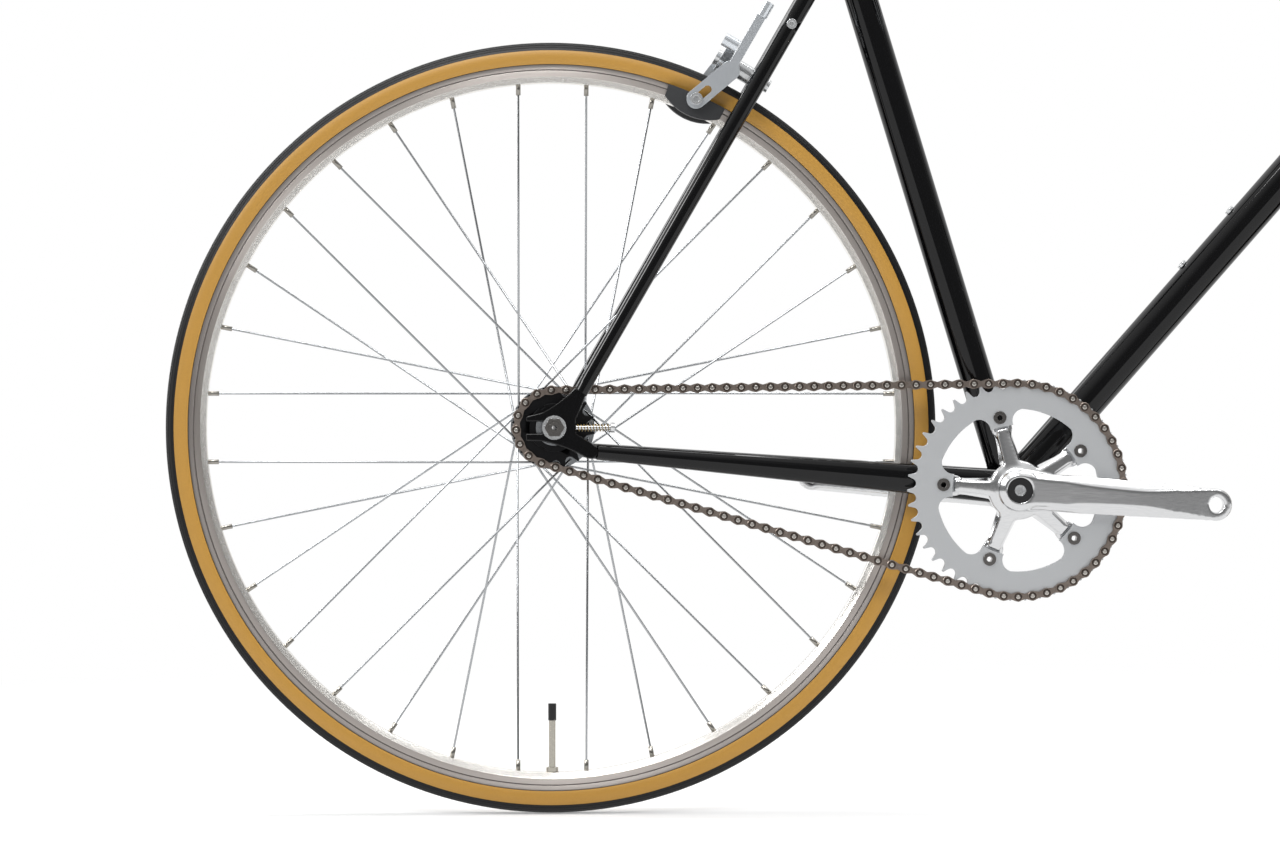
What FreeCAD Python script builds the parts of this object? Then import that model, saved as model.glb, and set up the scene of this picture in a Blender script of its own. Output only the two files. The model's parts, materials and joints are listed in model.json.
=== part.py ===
import FreeCAD, Part
import math
import os

# Fixed gear bicycle, millimetres and degrees.
# +X points forward, +Y to the rider's left, +Z up.
# The origin is on the floor, midway between the axles, in the middle plane.
# The chain is on the right, the -Y side.

# Overall geometry
wheelbase = 988.0
seat_tube_angle = 73.0
head_tube_angle = 71.0
bottom_bracket_drop = 54.5
fork_rake = 45.0
fork_length = 385.0
overrun = 2.0
seat_gap = 0.3
running_gap = 0.05
seam_gap = 0.05

# Chain and sprockets
chain_pitch = 12.7
chain_links = 96
chainring_teeth = 46
cog_teeth = 16
chain_line = 43.5
roller_radius = 3.85
roller_width = 3.4
roller_sides = 8
link_plate_thickness = 1.2
outer_plate_radius = 4.3
inner_plate_radius = 4.1
plate_end_sides = 4
plate_waist_share = 0.72
rivet_radius = 1.9
rivet_height = 0.6
rivet_sides = 6
sprocket_thickness = 3.0
tooth_height = 3.5
tooth_tip_width = 1.5
tooth_seat_gap = 0.25
tooth_seat_half_angle = 62.0
lockring_radius = 21.0
lockring_height = 4.0
lockring_notch_count = 3
lockring_notch_width = 5.0
lockring_notch_depth = 2.0

# Wheels
tyre_outer_radius = 338.0
tyre_width = 28.0
tyre_wall = 2.2
tyre_bead_width = 3.0
inner_tube_wall = 1.0
rim_flange_radius = 318.0
rim_track_height = 10.5
rim_bed_radius = 302.0
rim_width = 21.0
rim_bed_width = 9.0
rim_flange_wall = 2.8
rim_well_depth = 8.0
rim_wall = 1.6
rim_shelf_share = 0.3
rim_groove_radius = 313.2
rim_groove_width = 1.0
rim_groove_depth = 0.4
rim_hole_gap = 0.3
rim_hole_sides = 8
spoke_count = 32
spoke_crossings = 3
spoke_radius = 1.0
spoke_sides = 6
nipple_width = 3.4
nipple_length = 12.0
nipple_inset = 3.0
nipple_row_offset = 1.5
valve_angle = 270.0
valve_radius = 3.0
valve_reach = 58.0
valve_nut_radius = 5.5
valve_nut_height = 4.0
valve_cap_radius = 3.6
valve_cap_height = 13.0
hub_flange_offset = 33.5
hub_flange_pitch_radius = 31.5
hub_flange_radius = 36.0
hub_flange_thickness = 3.2
hub_hole_gap = 0.2
hub_outer_gap = 1.5
spoke_head_radius = 1.9
spoke_head_height = 1.0
hub_barrel_radius = 15.5
hub_wall = 3.0
hub_bearing_width = 8.0
hub_bearing_inset = 1.0
axle_radius = 5.0
axle_bore_radius = 2.2
rear_hub_width = 120.0
front_hub_width = 100.0
hub_left_end = 42.0
hub_front_end = 40.0
hub_locknut_radius = 8.5
axle_nut_radius = 10.4
axle_nut_flange_height = 2.0
axle_nut_hex_width = 15.0
axle_nut_height = 9.0
axle_end = 3.0

# Crankset
crank_length = 170.0
crank_rest_angle = -4.2
pedal_hole_radius = 7.14
crank_eye_radius = 14.0
crank_tread = 148.0
crank_end_thickness = 13.0
crank_boss_radius = 17.5
crank_boss_inner = 38.0
crank_boss_outer = 63.5
crank_root_height = 35.0
crank_root_face = 21.0
crank_end_face = 18.0
crank_root_thickness = 15.0
crank_back_share = 0.8
crank_clear_of_chain = 2.5
crank_mid_share = 0.55
crank_cap_radius = 10.7
crank_cap_height = 1.6
crank_bolt_radius = 4.8
crank_bolt_length = 14.0
crank_bolt_socket = 8.0
crank_stem_radius = 4.0
socket_share = 0.8
crank_eye_bevel = 2.0
spindle_radius = 8.5
spindle_square = 12.7
spindle_length = 111.0
chainring_bolt_circle = 65.0
chainring_bolt_count = 5
chainring_bolt_radius = 5.0
chainring_bolt_head_radius = 5.7
chainring_bolt_head_height = 1.4
chainring_bolt_bore = 2.6
chainring_window_radius = 71.0
chainring_tab_radius = 57.0
chainring_tab_half_width = 10.0
chainring_tab_flank_share = 0.5
chainring_tab_flank_width = 11.5
chainring_tab_root_width = 21.0
spider_tab_thickness = 4.5
spider_tab_radius = 9.0
spider_root_width = 24.0
spider_tip_width = 15.0
spider_tip_radius = 55.0
spider_root_outer = 58.0
spider_crest_share = 0.6
cog_flange_gap = 0.5

# Frame tubes
head_tube_radius = 18.4
head_tube_wall = 1.4
head_tube_length = 125.0
top_tube_radius = 14.3
down_tube_radius = 15.9
seat_tube_radius = 14.3
tube_wall = 0.9
seat_tube_length = 545.0
top_tube_seat_height = 505.0
top_tube_head_drop = 24.0
down_tube_head_rise = 42.0
shell_radius = 20.0
shell_width = 68.0
shell_wall = 3.0
seat_stay_top_rise = 6.0
seat_stay_top_radius = 8.0
seat_stay_end_radius = 6.3
seat_stay_top_offset = 17.0
chain_stay_front_height = 30.5
chain_stay_front_width = 14.0
chain_stay_end_radius = 6.9
chain_stay_front_offset = 21.0
chain_stay_front_rise = 2.0
stay_wall = 0.9
tube_sides = 24
brake_bridge_radius = 7.0
brake_bridge_reach = 355.0
chain_bridge_radius = 6.0
chain_bridge_reach = 358.0
track_end_thickness = 6.0
track_slot_height = 10.4
track_slot_front = 8.0
track_end_reach = 24.0
# Outline of a track end from its axle, as shares of its reach behind the axle
upper_prong_shares = ((-1.0, 0.40), (-0.45, 0.53))
upper_edge_shares = ((0.29, 1.0), (0.84, 1.52))
stay_leg_shares = ((1.2, 1.28), (1.12, 1.11))
front_edge_shares = ((0.92, 0.6), (0.78, 0.3))
chain_leg_shares = ((0.78, -0.21), (1.32, -0.54), (1.75, -0.88), (1.39, -1.13), (1.17, -1.1))
lower_edge_shares = ((0.14, -0.64), (-0.45, -0.49))
lower_prong_share = -0.47
seat_stay_end_shares = (0.94, 1.26)
chain_stay_end_shares = (1.55, -0.87)
boss_bolt_radius = 4.4
boss_bolt_height = 2.6
boss_bolt_stem_radius = 2.5
boss_bolt_socket = 4.0
bottle_boss_spacing = 64.0
bottle_boss_from_shell = 250.0
stay_boss_drop = 96.0

# Fork, headset and cockpit
steerer_radius = 14.3
steerer_wall = 2.0
headset_stack = 12.0
headset_cup_radius = 21.5
headset_cup_insert = 10.0
headset_cover_height = 8.0
headset_race_height = 4.0
spacer_height = 10.0
crown_height = 26.0
crown_boss_radius = 19.0
blade_offset = 36.0
blade_top_radius = 11.5
blade_end_radius = 7.0
blade_wall = 1.2
blade_straight_share = 0.55
fork_end_thickness = 5.0
fork_end_length = 34.0
fork_end_width = 22.0
stem_clamp_height = 40.0
stem_radius = 17.5
stem_reach = 90.0
stem_arm_radius = 14.0
bar_clamp_radius = 15.9
bar_end_radius = 11.1
bar_wall = 2.0
bar_width = 600.0
bar_rise = 30.0
bar_sweep = 35.0
bar_flat_half = 55.0
bar_shoulder_half = 125.0
bar_bend_radius = 45.0
bar_cone_share = 0.8
stem_bar_clamp_width = 42.0
stem_bar_clamp_wall = 5.0
stem_bolt_radius = 2.5
stem_bolt_head_radius = 4.3
stem_bolt_head_height = 4.0
stem_bolt_spread = 15.0
cap_height = 5.0
grip_length = 125.0
grip_radius = 15.5
grip_flange_radius = 19.0
grip_flange_height = 4.0
bar_plug_height = 3.0

# Brake levers
lever_from_grip = 22.0
lever_clamp_radius = 16.5
lever_clamp_width = 12.0
lever_pivot_forward = 32.0
lever_pivot_inset = 6.0
lever_pivot_radius = 3.0
lever_bracket_height = 14.0
lever_bracket_width = 12.0
lever_blade_height = 9.0
lever_blade_thickness = 7.0
lever_length = 95.0
lever_rise = 26.0
lever_hub_radius = 7.0
lever_gap = 1.0
lever_elbow_share = 0.6

# Brake calipers, measured from the mounting bolt
caliper_pad_setback = 39.4
caliper_arm_setback = 22.0
caliper_arm_depth = 8.0
caliper_layer_gap = 0.5
caliper_bolt_radius = 4.0
caliper_bolt_head_radius = 7.0
caliper_bolt_head_height = 4.0
caliper_pivot_boss_radius = 10.0
caliper_arm_inner = 25.0
caliper_arm_thickness = 6.0
caliper_arm_width = 17.0
caliper_arch_height = 16.0
caliper_slot_width = 7.0
caliper_slot_length = 20.0
caliper_leg_height = 47.0
caliper_barrel_radius = 5.0
caliper_barrel_height = 14.0
caliper_anchor_height = 14.0
caliper_anchor_radius = 6.0
caliper_nut_radius = 6.0
caliper_nut_height = 4.0
spacer_share = 0.8
pad_length = 53.0
pad_rubber_height = 9.5
pad_shoe_height = 19.5
pad_shoe_end_height = 10.5
pad_edge_gap = 1.0
pad_holder_thickness = 7.0
pad_rubber_thickness = 4.0
pad_to_rim = 2.5
pad_bolt_radius = 3.0
pad_bolt_head_radius = 5.3
pad_bolt_head_height = 4.0

# Seat
seatpost_radius = 13.6
seatpost_wall = 2.2
seatpost_insert = 110.0
seatpost_show = 105.0
collar_height = 17.0
collar_wall = 3.6
collar_ear = 9.0
collar_bolt_radius = 2.5
collar_bolt_head_radius = 4.3
saddle_length = 275.0
saddle_width = 145.0
saddle_pad_height = 34.0
saddle_shell_thickness = 2.5
saddle_setback = 20.0
rail_radius = 3.5
rail_spread = 44.0
rail_drop = 42.0
rail_nose_spread = 16.0
rail_clamp_length = 38.0
rail_clamp_height = 18.0
rail_clamp_bolt_radius = 3.0
bolt_depth_share = 0.5
rail_tail_share = 0.12
rail_nose_share = 0.86
rail_tail_spread_share = 1.5
rail_bend_radius = 25.0
shell_inset_share = 0.94
# Saddle sections: place along the length, width and crown height, as shares
saddle_shares = (
    (0.0, 0.62, 0.35), (0.06, 0.92, 0.75), (0.2, 1.0, 1.0), (0.42, 0.74, 0.92),
    (0.62, 0.42, 0.72), (0.84, 0.28, 0.54), (0.97, 0.23, 0.42), (1.0, 0.14, 0.25),
)

# Chain adjuster
adjuster_radius = 2.0
adjuster_reach = 30.0
adjuster_head_radius = 4.4
adjuster_head_height = 3.5
spring_radius = 3.0
spring_wire = 1.1
spring_pitch = 2.6

# Derived places
half_pitch_ring = math.pi / chainring_teeth
half_pitch_cog = math.pi / cog_teeth
ring_pitch_radius = chain_pitch / (2 * math.sin(half_pitch_ring))
cog_pitch_radius = chain_pitch / (2 * math.sin(half_pitch_cog))


def chain_layout():
    """Links on the ring, on the cog and on each run, and the centre distance that closes the chain."""
    best = None
    for on_ring in range(1, chainring_teeth, 2):
        for on_cog in range(1, cog_teeth, 2):
            on_run = (chain_links - on_ring - on_cog) / 2
            if on_run != int(on_run) or on_run <= 0:
                continue
            ring_angle = on_ring * half_pitch_ring
            cog_angle = on_cog * half_pitch_cog
            rise = ring_pitch_radius * math.sin(ring_angle) - cog_pitch_radius * math.sin(cog_angle)
            run = on_run * chain_pitch
            if abs(rise) >= run:
                continue
            lean = math.asin(rise / run)
            misfit = abs(ring_angle - math.pi / 2 - lean) + abs(cog_angle - math.pi / 2 + lean)
            if best is None or misfit < best[0]:
                offsets = ring_pitch_radius * math.cos(ring_angle) + cog_pitch_radius * math.cos(cog_angle)
                best = (misfit, on_ring, on_cog, int(on_run), run * math.cos(lean) - offsets)
    return best[1:]


links_on_ring, links_on_cog, links_on_run, chain_centres = chain_layout()


def vec(x, y, z):
    return FreeCAD.Vector(x, y, z)


side_axis = vec(0, 1, 0)
rear_axle = vec(-wheelbase / 2, 0, tyre_outer_radius)
front_axle = vec(wheelbase / 2, 0, tyre_outer_radius)
bottom_bracket = rear_axle + vec(
    math.sqrt(chain_centres**2 - bottom_bracket_drop**2), 0, -bottom_bracket_drop
)
seat_up = vec(-math.cos(math.radians(seat_tube_angle)), 0, math.sin(math.radians(seat_tube_angle)))
steer_up = vec(-math.cos(math.radians(head_tube_angle)), 0, math.sin(math.radians(head_tube_angle)))
steer_forward = vec(steer_up.z, 0, -steer_up.x)
steer_foot = front_axle - steer_forward * fork_rake
crown_seat = steer_foot + steer_up * math.sqrt(fork_length**2 - fork_rake**2)
head_bottom = crown_seat + steer_up * headset_stack
head_top = head_bottom + steer_up * head_tube_length
seat_top = bottom_bracket + seat_up * seat_tube_length
stay_meet = bottom_bracket + seat_up * (top_tube_seat_height + seat_stay_top_rise)


# Building blocks
def rod(start, end, radius):
    return Part.makeCylinder(radius, (end - start).Length, start, end - start)


def pipe(start, end, outer_radius, inner_radius):
    return rod(start, end, outer_radius).cut(rod(start, end, inner_radius))


def taper(start, end, start_radius, end_radius):
    return Part.makeCone(start_radius, end_radius, (end - start).Length, start, end - start)


def disc(centre, y_from, y_to, radius):
    """A round slab across the bicycle, between two side-to-side places."""
    low = min(y_from, y_to)
    return Part.makeCylinder(radius, abs(y_to - y_from), vec(centre.x, low, centre.z), side_axis)


def ring(centre, y_from, y_to, outer_radius, inner_radius):
    return disc(centre, y_from, y_to, outer_radius).cut(disc(centre, y_from, y_to, inner_radius))


def closed_wire(start, steps, place):
    """A closed outline: each step is a point for a line, or a pair of points for an arc."""
    edges = []
    here = place(*start)
    for step in steps:
        if isinstance(step[0], tuple):
            there = place(*step[1])
            edges.append(Part.Arc(here, place(*step[0]), there).toShape())
        else:
            there = place(*step)
            edges.append(Part.LineSegment(here, there).toShape())
        here = there
    first = place(*start)
    if (here - first).Length > seam_gap:
        edges.append(Part.LineSegment(here, first).toShape())
    return Part.Wire(edges)


def side_plate(start, steps, centre, y_from, thickness):
    """An outline of forward and up distances from a centre, as a plate that faces sideways."""
    wire = closed_wire(start, steps, lambda u, v: vec(centre.x + u, y_from, centre.z + v))
    return Part.Face(wire).extrude(vec(0, thickness, 0))


def turned(start, steps, centre):
    """An outline of side places and radii, turned about an axle."""
    wire = closed_wire(start, steps, lambda y, r: vec(centre.x + r, centre.y + y, centre.z))
    return Part.Face(wire).revolve(centre, side_axis, 360)


def lofted(wires, ruled=True):
    return Part.makeLoft(wires, True, ruled)


def polygon(points):
    return Part.makePolygon(list(points) + [points[0]])


def prism(start, end, radius, sides, turn=0):
    """A regular bar of flat sides between two points."""
    along = end - start
    face = Part.Face(polygon([
        vec(radius * math.cos(2 * math.pi * (k + turn) / sides),
            radius * math.sin(2 * math.pi * (k + turn) / sides), 0)
        for k in range(sides)
    ]))
    solid = face.extrude(vec(0, 0, along.Length))
    spin = FreeCAD.Rotation(vec(0, 0, 1), along)
    solid.Placement = FreeCAD.Placement(start, spin)
    return solid


def hex_radius(width):
    return width / math.sqrt(3)


def about(shape, centre, degrees):
    """A copy turned about a side-to-side axis, nose up for a positive angle."""
    copy = shape.copy()
    copy.rotate(centre, side_axis, -degrees)
    return copy


def mirrored(shape):
    return shape.mirror(vec(0, 0, 0), side_axis)


def both_sides(shape):
    return [shape, mirrored(shape)]


def joined(shapes):
    return shapes[0].fuse(shapes[1:]).removeSplitter()


def without(shape, tools):
    return shape.cut(tools)


def group(shapes):
    solids = []
    for shape in shapes:
        solids.extend(shape.Solids)
    return Part.makeCompound(solids)


def save(name, shapes):
    shape = group(shapes if isinstance(shapes, list) else [shapes])
    shape.exportStep("parts/" + name + ".step")
    print(name, len(shape.Solids), round(shape.Volume), shape.isValid())


# Frame tubes
head_solid = rod(head_bottom, head_top, head_tube_radius)
shell_solid = disc(bottom_bracket, -shell_width / 2, shell_width / 2, shell_radius)
seat_solid = rod(bottom_bracket, seat_top, seat_tube_radius)
down_start = bottom_bracket
down_end = head_bottom + steer_up * down_tube_head_rise
top_start = bottom_bracket + seat_up * top_tube_seat_height
top_end = head_top - steer_up * top_tube_head_drop
top_solid = rod(top_start, top_end, top_tube_radius)


def make_main_tubes():
    save("head_tube", pipe(head_bottom, head_top, head_tube_radius, head_tube_radius - head_tube_wall))
    shell_bore = disc(bottom_bracket, -shell_width, shell_width, shell_radius - shell_wall)
    save("bottom_bracket_shell", shell_solid.cut(shell_bore))
    seat_tube = pipe(bottom_bracket, seat_top, seat_tube_radius, seatpost_radius + running_gap)
    save("seat_tube", seat_tube.cut(shell_solid))
    down_tube = pipe(down_start, down_end, down_tube_radius, down_tube_radius - tube_wall)
    down_tube = without(down_tube, [shell_solid, seat_solid, head_solid] + bottle_boss_holes())
    save("down_tube", down_tube)
    top_tube = pipe(top_start, top_end, top_tube_radius, top_tube_radius - tube_wall)
    save("top_tube", without(top_tube, [seat_solid, head_solid]))


def track_end(side):
    """A track end plate with its slot open to the rear."""
    reach = track_end_reach
    half_slot = track_slot_height / 2

    def sized(shares):
        return tuple(reach * share for share in shares)

    steps = [sized(upper_prong_shares[0]), sized(upper_prong_shares[1])]
    steps.append(tuple(sized(pair) for pair in upper_edge_shares))
    steps += [sized(pair) for pair in stay_leg_shares + front_edge_shares + chain_leg_shares]
    steps.append(tuple(sized(pair) for pair in lower_edge_shares))
    steps += [(-reach, reach * lower_prong_share), (-reach, -half_slot),
              (track_slot_front - half_slot, -half_slot)]
    steps.append(((track_slot_front, 0), (track_slot_front - half_slot, half_slot)))
    inner = rear_hub_width / 2
    low = inner if side > 0 else -inner - track_end_thickness
    return side_plate((-reach, half_slot), steps, rear_axle, low, track_end_thickness)


def stay_end(shares, side):
    middle = rear_hub_width / 2 + track_end_thickness / 2
    return rear_axle + vec(track_end_reach * shares[0], side * middle, track_end_reach * shares[1])


def seat_stay_points(side):
    return stay_end(seat_stay_end_shares, side), stay_meet + vec(0, side * seat_stay_top_offset, 0)


def seat_stay(side, inset):
    start, end = seat_stay_points(side)
    return taper(start, end, seat_stay_end_radius - inset, seat_stay_top_radius - inset)


def chain_stay_points(side):
    front = vec(0, side * chain_stay_front_offset, chain_stay_front_rise)
    return stay_end(chain_stay_end_shares, side), bottom_bracket + front


def oval(centre, up, across):
    """A many-sided round or oval outline, its half sizes the lengths of two directions."""
    points = []
    for step in range(tube_sides):
        angle = 2 * math.pi * step / tube_sides
        points.append(centre + up * math.cos(angle) + across * math.sin(angle))
    return polygon(points)


def chain_stay(side, inset):
    """Round at the track end, tall and narrow where it meets the shell."""
    start, end = chain_stay_points(side)
    along = (end - start).normalize()
    up = along.cross(side_axis).normalize()
    across = along.cross(up)
    end_radius = chain_stay_end_radius - inset
    front_height = chain_stay_front_height / 2 - inset
    front_width = chain_stay_front_width / 2 - inset
    round_end = oval(start, up * end_radius, across * end_radius)
    return lofted([round_end, oval(end, up * front_height, across * front_width)])


def bridge(reach, points):
    """Middle and half length of a cross tube between a pair of stays, at a distance from the axle."""
    start, end = points(1)
    along = end - start
    step = vec(along.x, 0, along.z).normalize()
    offset = vec(start.x, 0, start.z) - rear_axle
    ahead = offset.dot(step)
    travel = -ahead + math.sqrt(ahead**2 + reach**2 - offset.dot(offset))
    centre = vec(start.x, 0, start.z) + step * travel
    across = along.y / vec(along.x, 0, along.z).Length
    return centre, start.y + across * travel


brake_bridge_centre, brake_bridge_half = bridge(brake_bridge_reach, seat_stay_points)
chain_bridge_centre, chain_bridge_half = bridge(chain_bridge_reach, chain_stay_points)
stay_along = (stay_meet - stay_end(seat_stay_end_shares, 0)).normalize()
stay_back = vec(-stay_along.z, 0, stay_along.x)


def make_rear_triangle():
    ends = [track_end(1), track_end(-1)]
    save("track_ends", ends)
    seat_stays = []
    chain_stays = []
    for side in (1, -1):
        tube = seat_stay(side, 0).cut(seat_stay(side, stay_wall))
        seat_stays.append(without(tube, ends + [seat_solid, top_solid] + stay_boss_holes() + brake_holes()))
        tube = chain_stay(side, 0).cut(chain_stay(side, stay_wall))
        chain_stays.append(without(tube, ends + [shell_solid]))
    save("seat_stays", seat_stays)
    save("chain_stays", chain_stays)
    bridges = []
    for centre, half, radius, stay in (
        (brake_bridge_centre, brake_bridge_half, brake_bridge_radius, seat_stay),
        (chain_bridge_centre, chain_bridge_half, chain_bridge_radius, chain_stay),
    ):
        tube = ring(centre, -half, half, radius, radius - stay_wall)
        bridges.append(without(tube, [stay(1, 0), stay(-1, 0)] + brake_holes()))
    save("stay_bridges", bridges)


# Small bolts in the frame's bosses
def boss_bolt(seat, outward):
    """A button bolt with a hex socket, its stem in the tube wall."""
    head = rod(seat, seat + outward * boss_bolt_height, boss_bolt_radius)
    stem = rod(seat - outward * boss_bolt_height, seat, boss_bolt_stem_radius)
    top = seat + outward * (boss_bolt_height + overrun)
    socket = prism(seat + outward * (boss_bolt_height / 2), top, hex_radius(boss_bolt_socket), 6)
    return joined([head, stem]).cut(socket)


def bottle_boss_places():
    along = (down_end - down_start).normalize()
    outward = vec(-along.z, 0, along.x)
    places = []
    for step in (0, 1):
        middle = down_start + along * (bottle_boss_from_shell + step * bottle_boss_spacing)
        places.append((middle + outward * down_tube_radius, outward))
    return places


def stay_boss_places():
    places = []
    for side in (1, -1):
        start, end = seat_stay_points(side)
        along = (end - start).normalize()
        middle = end - along * stay_boss_drop
        outward = (vec(0, side, 0) - along * (along.y * side)).normalize()
        share = stay_boss_drop / (end - start).Length
        radius = seat_stay_top_radius + (seat_stay_end_radius - seat_stay_top_radius) * share
        places.append((middle + outward * (radius + seam_gap), outward))
    return places


def boss_holes(places):
    return [
        rod(seat - outward * (boss_bolt_height + overrun), seat + outward * overrun,
            boss_bolt_stem_radius + running_gap)
        for seat, outward in places
    ]


def bottle_boss_holes():
    return boss_holes(bottle_boss_places())


def stay_boss_holes():
    return boss_holes(stay_boss_places())


def make_boss_bolts():
    save("boss_bolts", [boss_bolt(*place) for place in bottle_boss_places() + stay_boss_places()])


# Brake mounting holes, through the rear bridge and the fork crown
def brake_holes():
    reach = brake_bridge_radius + overrun
    middle = brake_bridge_centre
    return [rod(middle - stay_back * reach, middle + stay_back * reach, caliper_bolt_radius + running_gap)]


# Bottom bracket
def make_bottom_bracket():
    lip = shell_width / 2
    parts = []
    bore = shell_radius - shell_wall
    bearing_bore = spindle_radius + running_gap
    body = ring(bottom_bracket, -lip, lip, bore - running_gap, bore - shell_wall)
    for side in (1, -1):
        flange = ring(bottom_bracket, side * lip, side * (lip + shell_wall / 2), shell_radius - running_gap,
                      bearing_bore)
        bearing = ring(bottom_bracket, side * lip, side * (lip - hub_bearing_width), bore - shell_wall,
                       bearing_bore)
        parts += [flange, bearing]
    save("bottom_bracket_cartridge", joined([body] + parts))


# Chain adjusters at the track ends
def adjuster_places():
    """Front face of the plate where each screw comes out, and the plate's middle."""
    middle = rear_hub_width / 2 + track_end_thickness / 2
    front = track_end_reach * front_edge_shares[1][0]
    return [rear_axle + vec(front, side * middle, 0) for side in (1, -1)]


def adjuster_screw(seat):
    forward = vec(1, 0, 0)
    end = seat + forward * adjuster_reach
    stem = rod(seat, end, adjuster_radius)
    head = rod(end, end + forward * adjuster_head_height, adjuster_head_radius)
    return joined([stem, head])


def helix_point(centre, turn):
    angle = 2 * math.pi * turn
    return centre + vec(spring_pitch * turn, spring_radius * math.cos(angle), spring_radius * math.sin(angle))


def helix_heading(turn):
    angle = 2 * math.pi * turn
    rise = spring_pitch / (2 * math.pi)
    return vec(rise, -spring_radius * math.sin(angle), spring_radius * math.cos(angle)).normalize()


def tangent_arc(start, heading, end):
    """The arc that leaves a point along a heading and reaches another point."""
    chord = end - start
    middle = (start + end) * 0.5
    bend = heading.getAngle(chord)
    out = heading - chord * (heading.dot(chord) / chord.dot(chord))
    sagitta = chord.Length / 2 * math.tan(bend / 2)
    return Part.Arc(start, middle + out.normalize() * sagitta, end).toShape()


def biarc(start, start_heading, end, end_heading):
    """Two arcs that join two points with given headings and meet smoothly."""
    across = end - start
    headings = start_heading + end_heading
    spread = 2 * (1 - start_heading.dot(end_heading))
    push = across.dot(headings)
    reach = (-push + math.sqrt(push**2 + spread * across.dot(across))) / spread
    meeting = (start + start_heading * reach + end - end_heading * reach) * 0.5
    first = tangent_arc(start, start_heading, meeting)
    second = tangent_arc(end, end_heading * -1, meeting)
    return [first, second]


def adjuster_spring(seat):
    """A coil of flat-sided wire round the screw, between the plate and the screw's head."""
    room = adjuster_reach - spring_wire - 2 * seat_gap
    quarters = int(4 * room / spring_pitch)
    centre = seat + vec(seat_gap + spring_wire / 2, 0, 0)
    edges = []
    for quarter in range(quarters):
        edges += biarc(
            helix_point(centre, quarter / 4), helix_heading(quarter / 4),
            helix_point(centre, (quarter + 1) / 4), helix_heading((quarter + 1) / 4),
        )
    half = spring_wire / 2
    start = helix_point(centre, 0)
    face_ahead = helix_heading(0)
    outward = vec(0, 1, 0)
    beside = face_ahead.cross(outward)
    corners = [start + outward * (half * u) + beside * (half * v)
               for u, v in ((1, 0), (0, 1), (-1, 0), (0, -1))]
    path = Part.Wire(Part.__sortEdges__(edges))
    return path.makePipeShell([polygon(corners)], True, False)


def make_adjusters():
    seats = adjuster_places()
    save("axle_adjusters", [make(seat) for seat in seats for make in (adjuster_screw, adjuster_spring)])
    print("adjuster spring gap between turns", round(spring_pitch - spring_wire, 2))


# Headset and steerer
steerer_top = head_top + steer_up * (headset_stack + 2 * spacer_height + stem_clamp_height)


def headset_cup(edge, away):
    """A cup pressed into an end of the head tube, with its bearing ring."""
    bore = steerer_radius + running_gap
    insert = pipe(edge - away * headset_cup_insert, edge, head_tube_radius - head_tube_wall - running_gap,
                  bore + running_gap)
    cup_top = edge + away * (headset_stack - headset_race_height)
    cup = pipe(edge, cup_top, headset_cup_radius, bore)
    return joined([insert, cup])


def make_headset():
    save("headset_cups", [headset_cup(head_bottom, steer_up * -1), headset_cup(head_top, steer_up)])
    race_start = head_bottom - steer_up * (headset_stack - headset_race_height + seat_gap)
    race = pipe(race_start, crown_seat, headset_cup_radius - seat_gap, steerer_radius + running_gap)
    cover_start = head_top + steer_up * (headset_stack - headset_race_height + seat_gap)
    cover_end = cover_start + steer_up * (headset_cover_height - seat_gap)
    cover = pipe(cover_start, cover_end, headset_cup_radius - seat_gap, steerer_radius + running_gap)
    spacers = []
    place = cover_end
    stem_foot = steerer_top - steer_up * stem_clamp_height
    height = (stem_foot - cover_end).Length / 2
    for _ in range(2):
        spacers.append(pipe(place, place + steer_up * height, stem_radius, steerer_radius + running_gap))
        place = place + steer_up * height
    cap = rod(steerer_top, steerer_top + steer_up * cap_height, stem_radius - seat_gap)
    tail = rod(steerer_top - steer_up * stem_clamp_height, steerer_top, stem_bolt_radius)
    save("headset_top", [cover, joined([cap, tail])] + spacers)
    return race


# Fork
def stadium(centre, along, across, half_length, radius):
    """A long round-ended outline, its straight sides running along one direction."""
    corners = {}
    for u in (-1, 1):
        for v in (-1, 1):
            corners[u, v] = centre + along * (u * half_length) + across * (v * radius)
    edges = []
    for u in (1, -1):
        tip = centre + along * (u * (half_length + radius))
        edges.append(Part.Arc(corners[u, -u], tip, corners[u, u]).toShape())
        edges.append(Part.LineSegment(corners[u, u], corners[-u, u]).toShape())
    return Part.Wire(edges)


crown_bottom = crown_seat - steer_up * crown_height
blade_stations_shares = (0.0, 0.3, 0.55, 0.72, 0.87, 1.0)


def blade_centre(share, side):
    """A place on a fork blade: straight at first, then curving forward."""
    run = steer_foot + steer_up * (fork_end_length / 2)
    place = crown_bottom + (run - crown_bottom) * share
    curve = max(0, (share - blade_straight_share) / (1 - blade_straight_share))
    end_offset = front_hub_width / 2 + fork_end_thickness / 2
    offset = blade_offset + (end_offset - blade_offset) * share
    return place + steer_forward * (fork_rake * curve**2) + vec(0, side * offset, 0)


def blade(side, inset):
    wires = []
    for share in blade_stations_shares:
        radius = blade_top_radius + (blade_end_radius - blade_top_radius) * share - inset
        wires.append(oval(blade_centre(share, side), steer_forward * radius, side_axis * radius))
    return lofted(wires, False)


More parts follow.
